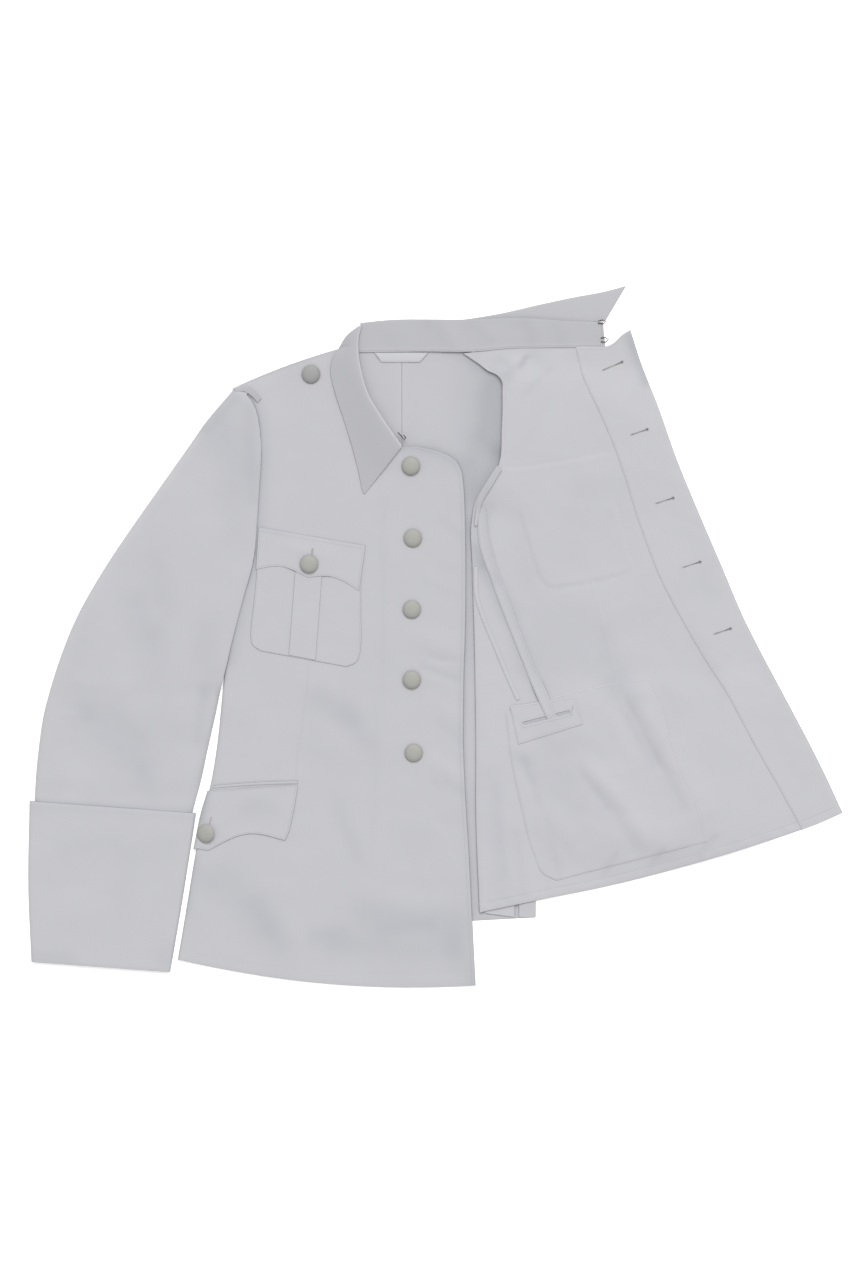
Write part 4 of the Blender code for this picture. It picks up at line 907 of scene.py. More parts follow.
def rods(starts: Array, ends: Array, radius: float) -> Surface:
    """Four-sided rods with drawn-in ends, one for each stitch.

    Args:
        starts: where each one starts, n x 3.
        ends: where it ends.
        radius: half its thickness.

    Returns:
        All rods as one surface.
    """
    run = ends - starts
    way = run / np.linalg.norm(run, axis=1, keepdims=True)
    side = np.cross(way, np.array([0, 0, 1]))
    side = side / np.maximum(np.linalg.norm(side, axis=1, keepdims=True), TINY)
    up = np.cross(side, way)
    rings = [starts + run * share + size * radius * (math.cos(turn) * side + math.sin(turn) * up)
             for share, size in ((0, 0.35), (0.2, 1), (0.8, 1), (1, 0.35))
             for turn in (0, math.pi / 2, math.pi, 3 * math.pi / 2)]
    corners = np.stack(rings, axis=1).reshape(-1, 3)
    one = [(3, 2, 1, 0), (12, 13, 14, 15)]
    for ring in (0, 4, 8):
        one += [(ring + k, ring + (k + 1) % 4, ring + 4 + (k + 1) % 4, ring + 4 + k) for k in range(4)]
    quads = (np.array(one)[None] + 16 * np.arange(len(starts))[:, None, None]).reshape(-1, 4)
    return Surface(corners, quads, np.zeros((len(corners), 2)))


def stitches(line: Array, pitch: float = 2.6, length: float = 1.8, radius: float = 0.2,
             lift: float = 0.55) -> Surface:
    """A row of stitches along a line of points on the middle of the cloth.

    Args:
        line: points, n x 3.
        pitch: from one stitch to the next.
        length: of a stitch.
        radius: half the thread's thickness.
        lift: of the thread above the line.

    Returns:
        The row.
    """
    whole = run_lengths(line)[-1]
    count = max(1, int(whole / pitch))
    begin = (np.arange(count) + 0.5) * (whole / count) - length / 2
    starts, ends = (along_line(line, at) + (0, 0, lift) for at in (begin, begin + length))
    return rods(starts, ends, radius)


def edge_stitches(grid: Array, sides: str, inset: float, trim: tuple[float, float] = (0, 0),
                  lift: float = 0.36) -> list[Surface]:
    """A row of stitches along each named side of a grid."""
    return [stitches(edge_line(grid, side, inset, trim), lift=lift) for side in sides]


def bar_tacks(line: Array, side: Sequence[float], lift: float) -> list[Surface]:
    """Two close rows of thick stitches on each side of a line, the end of a buttonhole."""
    return [stitches(line + np.array(side) * off, 1.1, 1, 0.28, lift) for off in (-0.55, 0.55)]


def joined(parts: Sequence[Surface]) -> Surface:
    """Several surfaces as one."""
    starts = np.cumsum([0] + [len(part.corners) for part in parts[:-1]])
    return Surface(np.concatenate([part.corners for part in parts]),
                   np.concatenate([part.quads + start for part, start in zip(parts, starts)]),
                   np.concatenate([part.flat for part in parts]))


# ---- finishes
def operator(operation: str, swapped: bool = False) -> Callable[["Value", "Value | float"], "Value"]:
    """A method of Value that adds a Math node over itself and another value."""

    def method(self: "Value", other: "Value | float") -> "Value":
        """The node's output."""
        pair = (other, self) if swapped else (self, other)
        return self.nodes.add("ShaderNodeMath", {"operation": operation}, dict(enumerate(pair)))

    return method


class Value:
    """An output of a shader node that can be added, subtracted and multiplied."""

    def __init__(self, nodes: "Nodes", socket: bpy.types.NodeSocket) -> None:
        """Keeps the socket and the tree it belongs to."""
        self.nodes, self.socket = nodes, socket

    __add__, __radd__ = operator("ADD"), operator("ADD", swapped=True)
    __sub__, __rsub__ = operator("SUBTRACT"), operator("SUBTRACT", swapped=True)
    __mul__, __rmul__ = operator("MULTIPLY"), operator("MULTIPLY", swapped=True)

    def sine(self) -> "Value":
        """Sine of self."""
        return self.nodes.add("ShaderNodeMath", {"operation": "SINE"}, {0: self})


class Nodes:
    """The nodes of one material."""

    def __init__(self, name: str) -> None:
        """Starts a material with a Principled shader."""
        self.material = bpy.data.materials.new(name)
        self.material.use_nodes = True
        self.tree = self.material.node_tree
        self.shader = self.tree.nodes["Principled BSDF"]

    def add(self, kind: str, settings: dict[str, object] | None = None,
            inputs: dict[str | int, object] | None = None, output: str | int = 0) -> Value:
        """Adds a node and gives one of its outputs.

        Args:
            kind: the node's type.
            settings: its properties.
            inputs: values or other nodes' outputs for its sockets.
            output: which output is wanted.

        Returns:
            The output.
        """
        node = self.tree.nodes.new(kind)
        for key, setting in (settings or {}).items():
            setattr(node, key, setting)
        for key, value in (inputs or {}).items():
            self.feed(node.inputs[key], value)
        return Value(self, node.outputs[output])

    def noise(self, where: Value, scale: float, detail: float) -> Value:
        """A Noise texture."""
        return self.add("ShaderNodeTexNoise", inputs={"Vector": where, "Scale": scale, "Detail": detail})

    def bump(self, strength: float, depth: float, height: Value) -> Value:
        """A Bump node."""
        return self.add("ShaderNodeBump",
                        inputs={"Strength": strength, "Distance": depth, "Height": height})

    def mix(self, share: Value, first: tuple[float, ...], second: tuple[float, ...]) -> Value:
        """A mix of two colours."""
        return self.add("ShaderNodeMix", {"data_type": "RGBA"},
                        {"Factor": share, "A": first, "B": second}, output="Result")

    def feed(self, socket: bpy.types.NodeSocket, value: object) -> None:
        """Links a value to a socket, or sets a constant on it."""
        if isinstance(value, Value):
            self.tree.links.new(value.socket, socket)
        else:
            socket.default_value = value

    def shine(self, **inputs: object) -> bpy.types.Material:
        """Sets the Principled shader's inputs, named with underscores for spaces."""
        for key, value in inputs.items():
            self.feed(self.shader.inputs[key.replace("_", " ")], value)
        return self.material


def shade(level: float, tint: Tint) -> tuple[float, float, float, float]:
    """A colour from a brightness and a tint."""
    return (*[level * part for part in tint], 1)


@dataclass(frozen=True)
class CottonDrill:
    """Washed white cotton drill: a fine twill, matt, with the faintest mottling."""

    name: str
    level: float
    tint: Tint = (1, 1.003, 1.056)
    dark_tint: Tint = (0.94, 1, 1.06)  # darker places, painted shade and mottling alike, are bluer
    light_tint: Tint = (1.02, 1, 0.98)
    rib: float = 0.0009  # metres from one twill rib to the next
    rib_depth: float = 0.00005
    mottle: float = 0.02
    roughness: float = 0.93

    def toned(self, times: float, tint: Tint) -> tuple[float, float, float, float]:
        """The cloth's colour made brighter and tinted again."""
        return shade(self.level * times, tuple(own * more for own, more in zip(self.tint, tint)))

    def make(self) -> bpy.types.Material:
        """Twill and fibre as bump on the piece's own flat map, mottling in the object's space."""
        nodes = Nodes(self.name)
        where = nodes.add("ShaderNodeTexCoord", output="Object")
        flat = nodes.add("ShaderNodeTexCoord", output="UV")
        split = nodes.add("ShaderNodeSeparateXYZ", inputs={0: flat})
        down = Value(nodes, split.socket.node.outputs["Y"])
        ribs = ((split + down * 0.62) * (2 * math.pi / self.rib)).sine()
        picks = (down * (2 * math.pi / (0.6 * self.rib))).sine()
        fibre = nodes.noise(flat, 1400, 2)
        slub = nodes.noise(where, 95, 3)
        cloud = nodes.noise(where, 17, 2)
        bump = nodes.bump(0.5, self.rib_depth, ribs * 0.3 + picks * 0.15 + fibre * 0.8 + slub * 1.1)
        # painted light and shade that the piece carries, mixed into the colour with the mottling
        tone = nodes.add("ShaderNodeAttribute", {"attribute_name": "tone"}, output="Fac")
        share = (cloud - 0.5) * self.mottle + (slub - 0.5) * self.mottle + tone + 0.5
        colour = nodes.mix(share, self.toned(0.5, self.dark_tint), self.toned(1.5, self.light_tint))
        nodes.material.diffuse_color = shade(self.level, self.tint)
        return nodes.shine(Base_Color=colour, Roughness=self.roughness, Normal=bump,
                           Sheen_Weight=0, Specular_IOR_Level=0.12)


@dataclass(frozen=True)
class SewingThread:
    """Matt cotton thread."""

    name: str
    level: float = 0.4
    tint: Tint = (1, 1.005, 1.02)

    def make(self) -> bpy.types.Material:
        """A plain rough finish."""
        return Nodes(self.name).shine(Base_Color=shade(self.level, self.tint), Roughness=0.85,
                                      Specular_IOR_Level=0.2)


@dataclass(frozen=True)
class ButtonMetal:
    """Grey-green lacquered metal with a pebbled dome."""

    name: str
    level: float = 0.31
    tint: Tint = (1, 1, 0.93)
    grain: float = 1250
    depth: float = 0.00016

    def make(self) -> bpy.types.Material:
        """Rounded cells as bump, a little darker between them."""
        nodes = Nodes(self.name)
        where = nodes.add("ShaderNodeTexCoord", output="Object")
        cells = nodes.add("ShaderNodeTexVoronoi", {"feature": "SMOOTH_F1"},
                          {"Vector": where, "Scale": self.grain, "Smoothness": 0.4})
        wear = nodes.noise(where, 420, 2)
        bump = nodes.bump(0.45, self.depth, 1 - cells)
        colour = nodes.mix(cells * 0.5 + wear * 0.3, shade(self.level * 1.12, self.tint),
                           shade(self.level * 0.84, self.tint))
        return nodes.shine(Base_Color=colour, Roughness=0.62, Metallic=0.1, Normal=bump,
                           Specular_IOR_Level=0.3)


@dataclass(frozen=True)
class PlainFinish:
    """An even finish."""

    name: str
    level: float
    roughness: float
    metallic: float = 0
    glow: float = 0

    def make(self) -> bpy.types.Material:
        """Constants alone."""
        white = (1, 1, 1)
        return Nodes(self.name).shine(
            Base_Color=shade(self.level, white), Roughness=self.roughness, Metallic=self.metallic,
            Emission_Color=shade(1, white), Emission_Strength=self.glow)


# ---- workshop
class Workshop:
    """Turns surfaces into pieces of the part and keeps the finishes."""

    # painted shade on the turned edges of patches and of panels
    patch_rim_shade = 0.22
    panel_rim_shade = 0.28
    # collar and stand levels are lower as painted shade of the sloping collar; the opened leaf is a little
    # darker too
    drill_levels = {"white": 0.423, "collar": 0.368, "inside": 0.432, "back": 0.418, "stand": 0.388,
                    "open_leaf": 0.408, "loop": 0.46}

    def __init__(self) -> None:
        """Makes the finishes."""
        self.drill = {name: CottonDrill(name + "_drill", level).make()
                      for name, level in self.drill_levels.items()}
        self.thread = SewingThread("sewing_thread").make()
        self.dark_thread = SewingThread("welt_thread", level=0.2).make()
        self.metal = ButtonMetal("button_metal").make()
        self.dull_metal = ButtonMetal("dull_button_metal", level=0.27, tint=(1, 1, 0.99)).make()
        self.wire = PlainFinish("dark_wire", 0.06, roughness=0.42, metallic=0.7).make()
        # a dark sheet as painted shade inside the buttonholes' slits
        self.slit = PlainFinish("slit_shade", 0.13, roughness=0.95).make()

    def piece(self, name: str, surface: Surface, finish: bpy.types.Material, slot: Slot = Slot.CLOTH,
              nodes: Sequence[str] = (), tone: Height | None = None,
              rim: float = 0) -> bpy.types.Object:
        """Makes one object that rides with the part.

        Args:
            name: the object's name.
            surface: its faces, in millimetres.
            finish: its material.
            slot: the record's slot; not used.
            nodes: names of the solids that it stands for.
            tone: painted light and shade at a place, as a share of the cloth's brightness.
            rim: painted shade on its turned edges; below 0 for painted light there.

        Returns:
            The object.
        """
        mesh = bpy.data.meshes.new(name)
        mesh.vertices.add(len(surface.corners))
        mesh.vertices.foreach_set("co", (surface.corners * MM).astype(np.float32).ravel())
        mesh.loops.add(surface.quads.size)
        mesh.loops.foreach_set("vertex_index", surface.quads.astype(np.int32).ravel())
        mesh.polygons.add(len(surface.quads))
        mesh.polygons.foreach_set("loop_start", np.arange(0, surface.quads.size, 4, dtype=np.int32))
        mesh.polygons.foreach_set("use_smooth", np.ones(len(surface.quads), dtype=bool))
        mesh.update(calc_edges=True)
        chart = (surface.flat[surface.quads.ravel()] * MM).astype(np.float32).ravel()
        mesh.uv_layers.new(name="flat").uv.foreach_set("vector", chart)
        # painted shading: painted shade on the turned edges (painted light where rim is below 0), plus the
        # piece's painted light and shade, kept in an attribute for the drill
        if surface.edge is not None:
            edge = surface.edge if rim > 0 else surface.edge != 0
            share = -rim * edge + (tone(*surface.corners[:, :2].T) if tone else 0)
            mesh.attributes.new("tone", "FLOAT", "POINT").data.foreach_set(
                "value", np.maximum(share, DARKEST_PAINTED_SHADE).astype(np.float32))
        mesh.materials.append(finish)
        made = placed(name, mesh)
        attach(made, "root")
        if nodes:
            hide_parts(*nodes)
        LOG.info("%s: %d faces", name, len(surface.quads))
        return made

    def sewing(self, name: str, rows: Sequence[Surface], dark: bool = False) -> bpy.types.Object:
        """Rows of stitches as one piece."""
        return self.piece(name, joined(rows), self.dark_thread if dark else self.thread)

    def cloth(self, node: str, grid: Array, rests_on: Sequence[str], wall: float = PANEL,
              finish: str = "white", closed: bool = False, held: str = "laid",
              sewn: Sequence[bpy.types.Object] = (), tone: Height | None = None,
              rim: float | None = None) -> None:
        """A piece of cloth that stands for one solid, with the size it is cut to logged.

        Args:
            node: name of the solid.
            grid: its middle, rows x columns x 3, in millimetres.
            rests_on: names of the solids whose cloth it lies on, or "floor"; not used.
            wall: its thickness.
            finish: which drill it is made of.
            closed: True for a tube.
            held: how it is held; not used.
            sewn: separate pieces on it; not used.
            tone: painted light and shade at a place, as a share of the cloth's brightness.
            rim: painted shade on its turned edges, below 0 for painted light; None for the usual value.
        """
        if rim is None:
            rim = self.patch_rim_shade if wall == PATCH else self.panel_rim_shade
        made = self.piece("cloth_" + node, shell(grid, wall, closed), self.drill[finish],
                          nodes=[node], tone=tone, rim=rim)
        around = wrapped(grid, closed)
        width = max(float(run_lengths(around, 1)[:, -1].max()) * MM, LEAST_CUT)
        length = max(float(run_lengths(grid)[-1].max()) * MM, LEAST_CUT)
        area = min(grid_area(around) * MM * MM, width * length)
        width, length = round(width, 4), round(length, 4)
        LOG.info("%s: cut %.0f x %.0f mm, %.4f m2", node, width / MM, length / MM, area)

    def patch(self, node: str, grid: Array, rests_on: Sequence[str], called: str = "",
              rows: Sequence[Surface] = (), **more: object) -> None:
        """A thin piece that is sewn on, with its stitching as a piece called stitching_ and its name."""
        sewn = [self.sewing("stitching_" + called, rows)] if rows else []
        self.cloth(node, grid, rests_on, wall=PATCH, sewn=sewn, **more)


def placed(name: str, data: bpy.types.ID) -> bpy.types.Object:
    """An object of the given data in the scene."""
    made = bpy.data.objects.new(name, data)
    bpy.context.scene.collection.objects.link(made)
    return made


# ---- pieces
RIGHT_FORM = FoldedPanel(
    RIGHT_SIDE, RIGHT_EDGE, RIGHT_LAY.form,
    ((0, 4.5, 0.5, 1), (0.22, 4.5, 0.5, 1), (0.29, 24, 0.5, 0), (0.36, 46, 0.5, 0),
     (0.55, 70, 0.5, 0), (0.64, 80, 0.6, 0), (0.69, 86, 1.95, 0), (0.8, 90, 1.95, 0),
     (0.85, 91, 0.6, 0), (1, 92, 0.5, 0)),
    4, fall=0.1, bow=(3, -12))
OPEN_FORM = FoldedPanel(
    OPEN_FOLD, OPEN_EDGE, OPEN_LAY.form,
    ((0, 4.5, 1.9, 1), (0.2, 4.5, 1.9, 1), (0.25, 36, 1.9, 0), (0.3, 54, 1.9, 0),
     (0.6, 45, 1.9, 0), (1, 38, 1.9, 0)),
    4.5, fall=-0.13, top=OPEN_TOP, foot=OPEN_HEM)
BACK_FORM = FoldedPanel(
    BACK_FOLD, CENTRE_BACK, on_floor,
    ((0, 4.5, 2, 0), (0.24, 4.5, 2, 0), (0.3, 18, 2, 0), (1, 18, 2, 0)),
    1, bow=(13, 0))


@dataclass(frozen=True)
class RightFront:
    """The right front with its dart, hem and the line of the facing behind it."""

    rows: int = 262
    cells: tuple[int, ...] = (40, 40, 38)
    strip_cells: int = 8
    hem_up: float = 13
    hem_depth: float = 0.03
    length: float = 636
    edge_drop: float = 0.3

    def build(self, shop: Workshop) -> None:
        """Makes the panel and its stitching, whose hem runs at an even distance above the edge."""
        path = RIGHT_FORM.face(np.array([1 - self.hem_up / self.length]), shares(24))[0]
        hem = Seam(path, depth=self.hem_depth, width=1.5)

        def height(x: Array, y: Array) -> Array:
            """Front with its hem line."""
            return RIGHT_LAY.full(x, y) + hem.relief(x, y)

        panel = replace(RIGHT_FORM, height=height)
        down = rows_with(self.rows, 1 - (self.hem_up + np.array([-1.4, 0, 1.4])) / self.length)
        across = seam_columns(panel.face, down, RIGHT_LAY.seams, self.cells)
        grid = panel.grid(down, across, self.strip_cells)
        free = roll_edges(grid[:, self.strip_cells + TURNS:], self.edge_drop, 1.8, "rb")
        grid[:, self.strip_cells + TURNS:] = free
        rows = [stitches(on_cloth(path[1:], height), lift=0.42),
                *edge_stitches(free, "r", 4, (118, 3), 0.5)]
        shop.cloth("front_right", grid, ["back_right", "back_left"], tone=self.tone,
                   sewn=[shop.sewing("stitching_front_right", rows)])

    def tone(self, x: Array, y: Array) -> Array:
        """Painted shading on the front: painted shade close beside the sleeve and toward the front edge."""
        sleeve = SLEEVE_INNER.off(x, y)
        beside = 0.08 * bell(sleeve / 10) + 0.1 * bell(sleeve / 2)
        edge = 0.045 * bell(RIGHT_EDGE.off(x, y) / 6.5)
        return RIGHT_SHADING.at(x, y) - beside * smooth((y + 50) / 30) - edge


@dataclass(frozen=True)
class OpenedLeftFront:
    """The left front thrown open: its inside, the hem and the facing with five buttonholes."""

    rows: int = 250
    cells: tuple[int, ...] = (56, 66)
    strip_cells: int = 6
    hem_up: float = 9.5
    hem_rise: float = 0.16
    hem_length: float = 405
    edge_length: float = 570
    height_down: float = 560
    facing_cells: int = 44
    facing_end: float = 0.996  # share across where the facing ends, just inside the front
    holes: Table = (
        # slit's end x, y, eye x, y
        (181, 288, 202, 297), (211, 218, 229, 224), (238, 144, 257, 150), (267, 75, 286, 81),
        (301, 3, 319, 9))

    def hem_band(self, x: Array, y: Array) -> Array:
        """The turned hem: a raised band with small uneven ripples along it."""
        off, share, _ = OPEN_HEM.place(x, y)
        run = share * self.hem_length
        ripple = np.sin(run / 3.3 + 2 * np.sin(run / 31)) * (0.5 + 0.5 * np.sin(run / 47 + 1))
        inside = 1 - smooth((off - self.hem_up + 1) / 1.4)
        pinch = bell((off - self.hem_up) / 1.2)
        return self.hem_rise * inside - 0.12 * pinch + 0.27 * ripple * bell((off - 6) / 4.5)

    def facing_relief(self, x: Array, y: Array) -> Array:
        """Puckers beside the facing's sewn outer edge and along its inner one."""
        off, share, _ = OPEN_EDGE.place(x, y)
        run = share * self.edge_length
        ripple = np.sin(run / 4.1 + 1.6 * np.sin(run / 37)) * bell((off - 6.5) / 4)
        pull = np.sin(run / 5.2 + 2.2 * np.sin(run / 53)) * bell(FACING_INNER.off(x, y, 90) / 5)
        return 0.13 * (ripple + pull)

    def tone(self, x: Array, y: Array) -> Array:
        """Painted shading on the opened front: a painted highlight on its fold and painted shade beside it.
        """
        fold = OPEN_FOLD.off(x, y, 90)
        return OPEN_SHADING.at(x, y) + 0.12 * bell(fold / 1.3) - 0.03 * bell(fold / 4.5)

    def height(self, x: Array, y: Array) -> Array:
        """The whole front with its hem."""
        return OPEN_LAY.full(x, y) + self.hem_band(x, y)

    def facing_height(self, x: Array, y: Array) -> Array:
        """The facing on the front."""
        return OPEN_LAY.soft(x, y) + 0.4 * self.hem_band(x, y) + self.facing_relief(x, y) + ON_PANEL

    def build(self, shop: Workshop) -> None:
        """Makes the panel, the facing, their stitching and the buttonholes."""
        panel = replace(OPEN_FORM, height=self.height)
        hem = 1 - (self.hem_up + np.array([-2.4, -1.2, 0, 1.2, 2.4])) / self.height_down
        down = rows_with(self.rows, np.concatenate([shares(24, 0, 0.06), hem]))
        across = seam_columns(panel.face, down, OPEN_LAY.seams, self.cells)
        grid = panel.grid(down, across, self.strip_cells)
        face = self.strip_cells + TURNS
        rows = edge_stitches(grid[:, face:], "b", self.hem_up, (3, 46), 0.5)
        grid[:, face:] = roll_edges(grid[:, face:], 0.5, 2.4, "b")
        shop.cloth("front_left", grid, ["back_left", "sleeve_left"], finish="inside",
                   sewn=[shop.sewing("stitching_front_left", rows)], tone=self.tone)
        self._facing(shop, panel, down)

    def _facing(self, shop: Workshop, panel: FoldedPanel, down: Array) -> None:
        """The facing with its edge stitching and buttonholes."""
        fold, width = OPEN_FOLD.at(down), OPEN_EDGE.at(down) - OPEN_FOLD.at(down)
        inner = ((FACING_INNER.at(down) - fold) * width).sum(1) / (width ** 2).sum(1)
        across = inner[:, None] + (self.facing_end - inner[:, None]) * shares(self.facing_cells)[None]
        grid = with_height(panel.face(down, across), self.facing_height)
        free = roll_edges(grid, 0.7, 2.2, "r")
        rows = [*edge_stitches(grid, "l", 1.6, (4, 3), 0.33),
                *edge_stitches(grid, "t", 3, (3, 4), 0.3),
                *edge_stitches(free, "b", self.hem_up, (2, 4), 0.38)]
        holes = [Buttonhole(row[:2], row[2:]) for row in self.holes]
        borders = [hole.border(self.facing_height) for hole in holes]
        slits = [hole.opening(self.facing_height) for hole in holes]
        sewn = [shop.sewing("stitching_facing_left", rows), shop.sewing("buttonholes_left", borders),
                shop.piece("buttonhole_slits_left", joined(slits), shop.slit)]
        shop.cloth("facing_left", free, ["front_left"], wall=PATCH, finish="inside", sewn=sewn,
                   tone=OPEN_SHADING.at, rim=-0.12)


@dataclass(frozen=True)
class Buttonhole:
    """A worked buttonhole: a narrow slit with a round eye, edged with close stitches."""

    end: tuple[float, ...]
    eye: tuple[float, ...]
    eye_radius: float = 1.05
    slit_half: float = 0.08
    slit_head: float = 1.5  # how far its closed end takes to widen
    stitch: float = 1
    lift: float = PATCH / 2

    def outline(self, grown: float, count: int) -> Array:
        """Closed outline of slit and eye, grown by a distance."""
        end, eye = np.array(self.end, float), np.array(self.eye, float)
        length = float(np.linalg.norm(eye - end))
        way = (eye - end) / length
        side = np.array([-way[1], way[0]])
        place = (np.arange(count) + 0.5) / count * 2
        along = np.where(place < 1, place, 2 - place)
        sign = np.where(place < 1, 1, -1)
        radius = self.eye_radius + grown
        run = -grown + (length + radius + grown) * (1 - np.cos(math.pi * along)) / 2
        round_eye = np.sqrt(np.maximum(radius ** 2 - (run - length) ** 2, 0))
        slit = np.sqrt(np.clip((run + grown) / (self.slit_head + grown), 0, 1))
        slit = np.where(run > length, 0, (self.slit_half + grown) * slit)
        return end + way * run[:, None] + side * (np.maximum(round_eye, slit) * sign)[:, None]

    def border(self, height: Height) -> Surface:
        """Close stitches that stand across the slit's edge all round."""
        starts, ends = (np.column_stack([line, height(*line.T) + self.lift + up]) for line, up in (
            (self.outline(0.05, 84), 0.1), (self.outline(0.05 + self.stitch, 84), 0)))
        return rods(starts, ends, 0.2)

    def opening(self, height: Height) -> Surface:
        """A dark sheet in the gap between the worked edges, as painted shade."""
        line = self.outline(0.06, 48)[::-1]
        middle = line.mean(axis=0)
        rings = np.stack([line, middle + (line - middle) * 0.5, middle + (line - middle) * 0.02])
        return shell(with_height(rings, raised(height, self.lift + 0.08)), 0.1, closed=True)


@dataclass(frozen=True)
class Back:
    """Two flat halves of the back, sewn along the centre with pressed-open allowances."""

    centre: float = -35.9
    allowance: float = 6
    level_lines: tuple[float, ...] = (-112, -190)

    def height(self, x: Array, y: Array) -> Array:
        """Flat on the floor, hollow beside the centre seam's allowances, up at the armhole's fold."""
        off = abs(x - self.centre)
        hollow = 0.1 * smooth((off - self.allowance) / 1.4) + 0.06 * bell((off - 0.2) / 0.6)
        lines = sum(0.12 * bell((y - level) / 1.5) * smooth((x - 20) / 12)
                    for level in self.level_lines)
        soft = 0.08 * (1 + np.sin(x / 17 + y / 31) * np.cos(y / 23 - x / 45))
        rise = np.clip(OPEN_LAY.form(x, y) - 3.9, 0, 3) * smooth((x - 44) / 28)
        rise = rise * (1 - smooth((x - 74) / 8)) * smooth((y - 192) / 24)
        return FLOOR_MID + rise - hollow - lines - soft

    def tone(self, x: Array, y: Array) -> Array:
        """Painted shade toward the fold of the opened front, with a soft painted streak."""
        near = smooth((x - 2) / 62) * smooth((y - 168) / 50)
        streak = bell((x - 52 - 0.05 * (y - 240)) / 7) * smooth((y - 214) / 20)
        return BACK_SHADING.at(x, y) - 0.085 * near - 0.03 * streak * smooth((285 - y) / 20)

    def build(self, shop: Workshop) -> None:
        """Makes both halves."""
        down = shares(150)
        across = np.concatenate([shares(16, 0, 0.9)[:-1], shares(12, 0.9, 1)])
        right = between(RIGHT_FORM.strip_end(down, 1), RIGHT_CENTRE.at(down), across, (12, 0))
        across = np.concatenate([shares(24, 0, 0.92)[:-1], shares(12, 0.92, 1)])
        left = replace(BACK_FORM, height=self.height).grid(down, across, 3)
        for node, grid in (("back_right", with_height(right, self.height)), ("back_left", left)):
            shop.cloth(node, grid, ["floor"], finish="back", tone=self.tone, rim=0.1)


@dataclass(frozen=True)
class RightSleeve:
    """Top and under sleeve and the deep cuff turned back round their end."""

    rows: int = 240
    columns: int = 66
    cuff_top: float = 6.7
    cuff_turn: float = 0.022  # share across that a side of the cuff takes to round over
    head_reach: tuple[float, float] = (1.6, 2.7)  # the sleeve's head goes this far below the loop
    head_round: float = 10
    head_floor: float = 0.9
    tube_drop: float = 0.4  # how far the cuff's ends turn in, and over which distance
    tube_reach: float = 2.6
    cuff_relief: tuple[Crease | Unevenness, ...] = (
        Crease(((-430, -214), (-360, -236), (-290, -244)), 34, 0.5),
        Crease(((-412, -300), (-370, -330), (-338, -352)), 20, -0.35, 1.3),
        Crease(((-330, -196), (-312, -250), (-308, -320)), 26, -0.3),
        Unevenness(15, 60, 0.12), Unevenness(16, 19, 0.03))

    def build(self, shop: Workshop) -> None:
        """Makes the three pieces."""
        down = rows_with(self.rows, shares(18, 0, 0.05))
        edge = (1 - np.cos(shares(21, 0, math.pi)))[:11] / 2 * 0.16
        across = np.concatenate([edge, shares(self.columns - 22, 0.085, 0.915), 1 - edge[::-1]])
        places = between(SLEEVE_OUTER.at(down) + (0.5, 0), SLEEVE_INNER.at(down), across)
        grid = with_height(np.concatenate([places[:1] + self.head_reach, places]), SLEEVE_LAY.full)
        x, y = grid[:, :, 0], grid[:, :, 1]
        low = self.head_floor + (RIGHT_LAY.form(x, y) + 0.25) * smooth((x + 221) / 8)
        grid[:, :, 2] = low + (grid[:, :, 2] - low) * rounded(run_lengths(grid) / self.head_round)
        shop.cloth("sleeve_right_top", grid, ["sleeve_right_under", "front_right"],
                   tone=SLEEVE_SHADING.at)
        down = shares(110, 0.025, 1)
        places = between(SLEEVE_OUTER.at(down) + (2.4, 0), SLEEVE_INNER.at(down) - (4.4, 0),
                         shares(14))
        shop.cloth("sleeve_right_under", with_height(places, self.under_height), ["floor"])
        self._cuff(shop)

    def under_height(self, x: Array, y: Array) -> Array:
        """Flat on the floor, then up on the lower wall of the cuff."""
        return FLOOR_MID + 1.45 * smooth((-146 - y) / 26)

    def _cuff(self, shop: Workshop) -> None:
        """A flattened tube with round sides."""
        reach, turn = self.cuff_turn, shares(11, math.pi / 2, -math.pi / 2)[1:-1]
        share = np.concatenate([shares(62, reach, 1 - reach), 1 - reach + reach * np.cos(turn),
                                shares(16, 1 - reach, reach), reach - reach * np.cos(turn)])
        level = np.concatenate([np.ones(62), 0.5 + 0.5 * np.sin(turn),
                                np.zeros(16), 0.5 - 0.5 * np.sin(turn)])
        down = shares(76)
        places = between(CUFF_LEFT.at(down) + (0.5, 0), CUFF_RIGHT.at(down) - (0.5, 0), share)
        z = FLOOR_MID + (self.cuff_top + 0.3 * np.sin(math.pi * share)) * level
        z = z + total_relief(self.cuff_relief, places[:, :, 0], places[:, :, 1]) * level ** 3
        grid = np.dstack([places, z])
        near = np.minimum(run_lengths(grid), run_lengths(grid[::-1])[::-1])
        grid[:, :, 2] -= self.tube_drop * (1 - rounded(near / self.tube_reach)) * level ** 2
        shop.cloth("cuff_right", grid, ["sleeve_right_top", "floor"], closed=True,
                   tone=CUFF_SHADING.at)


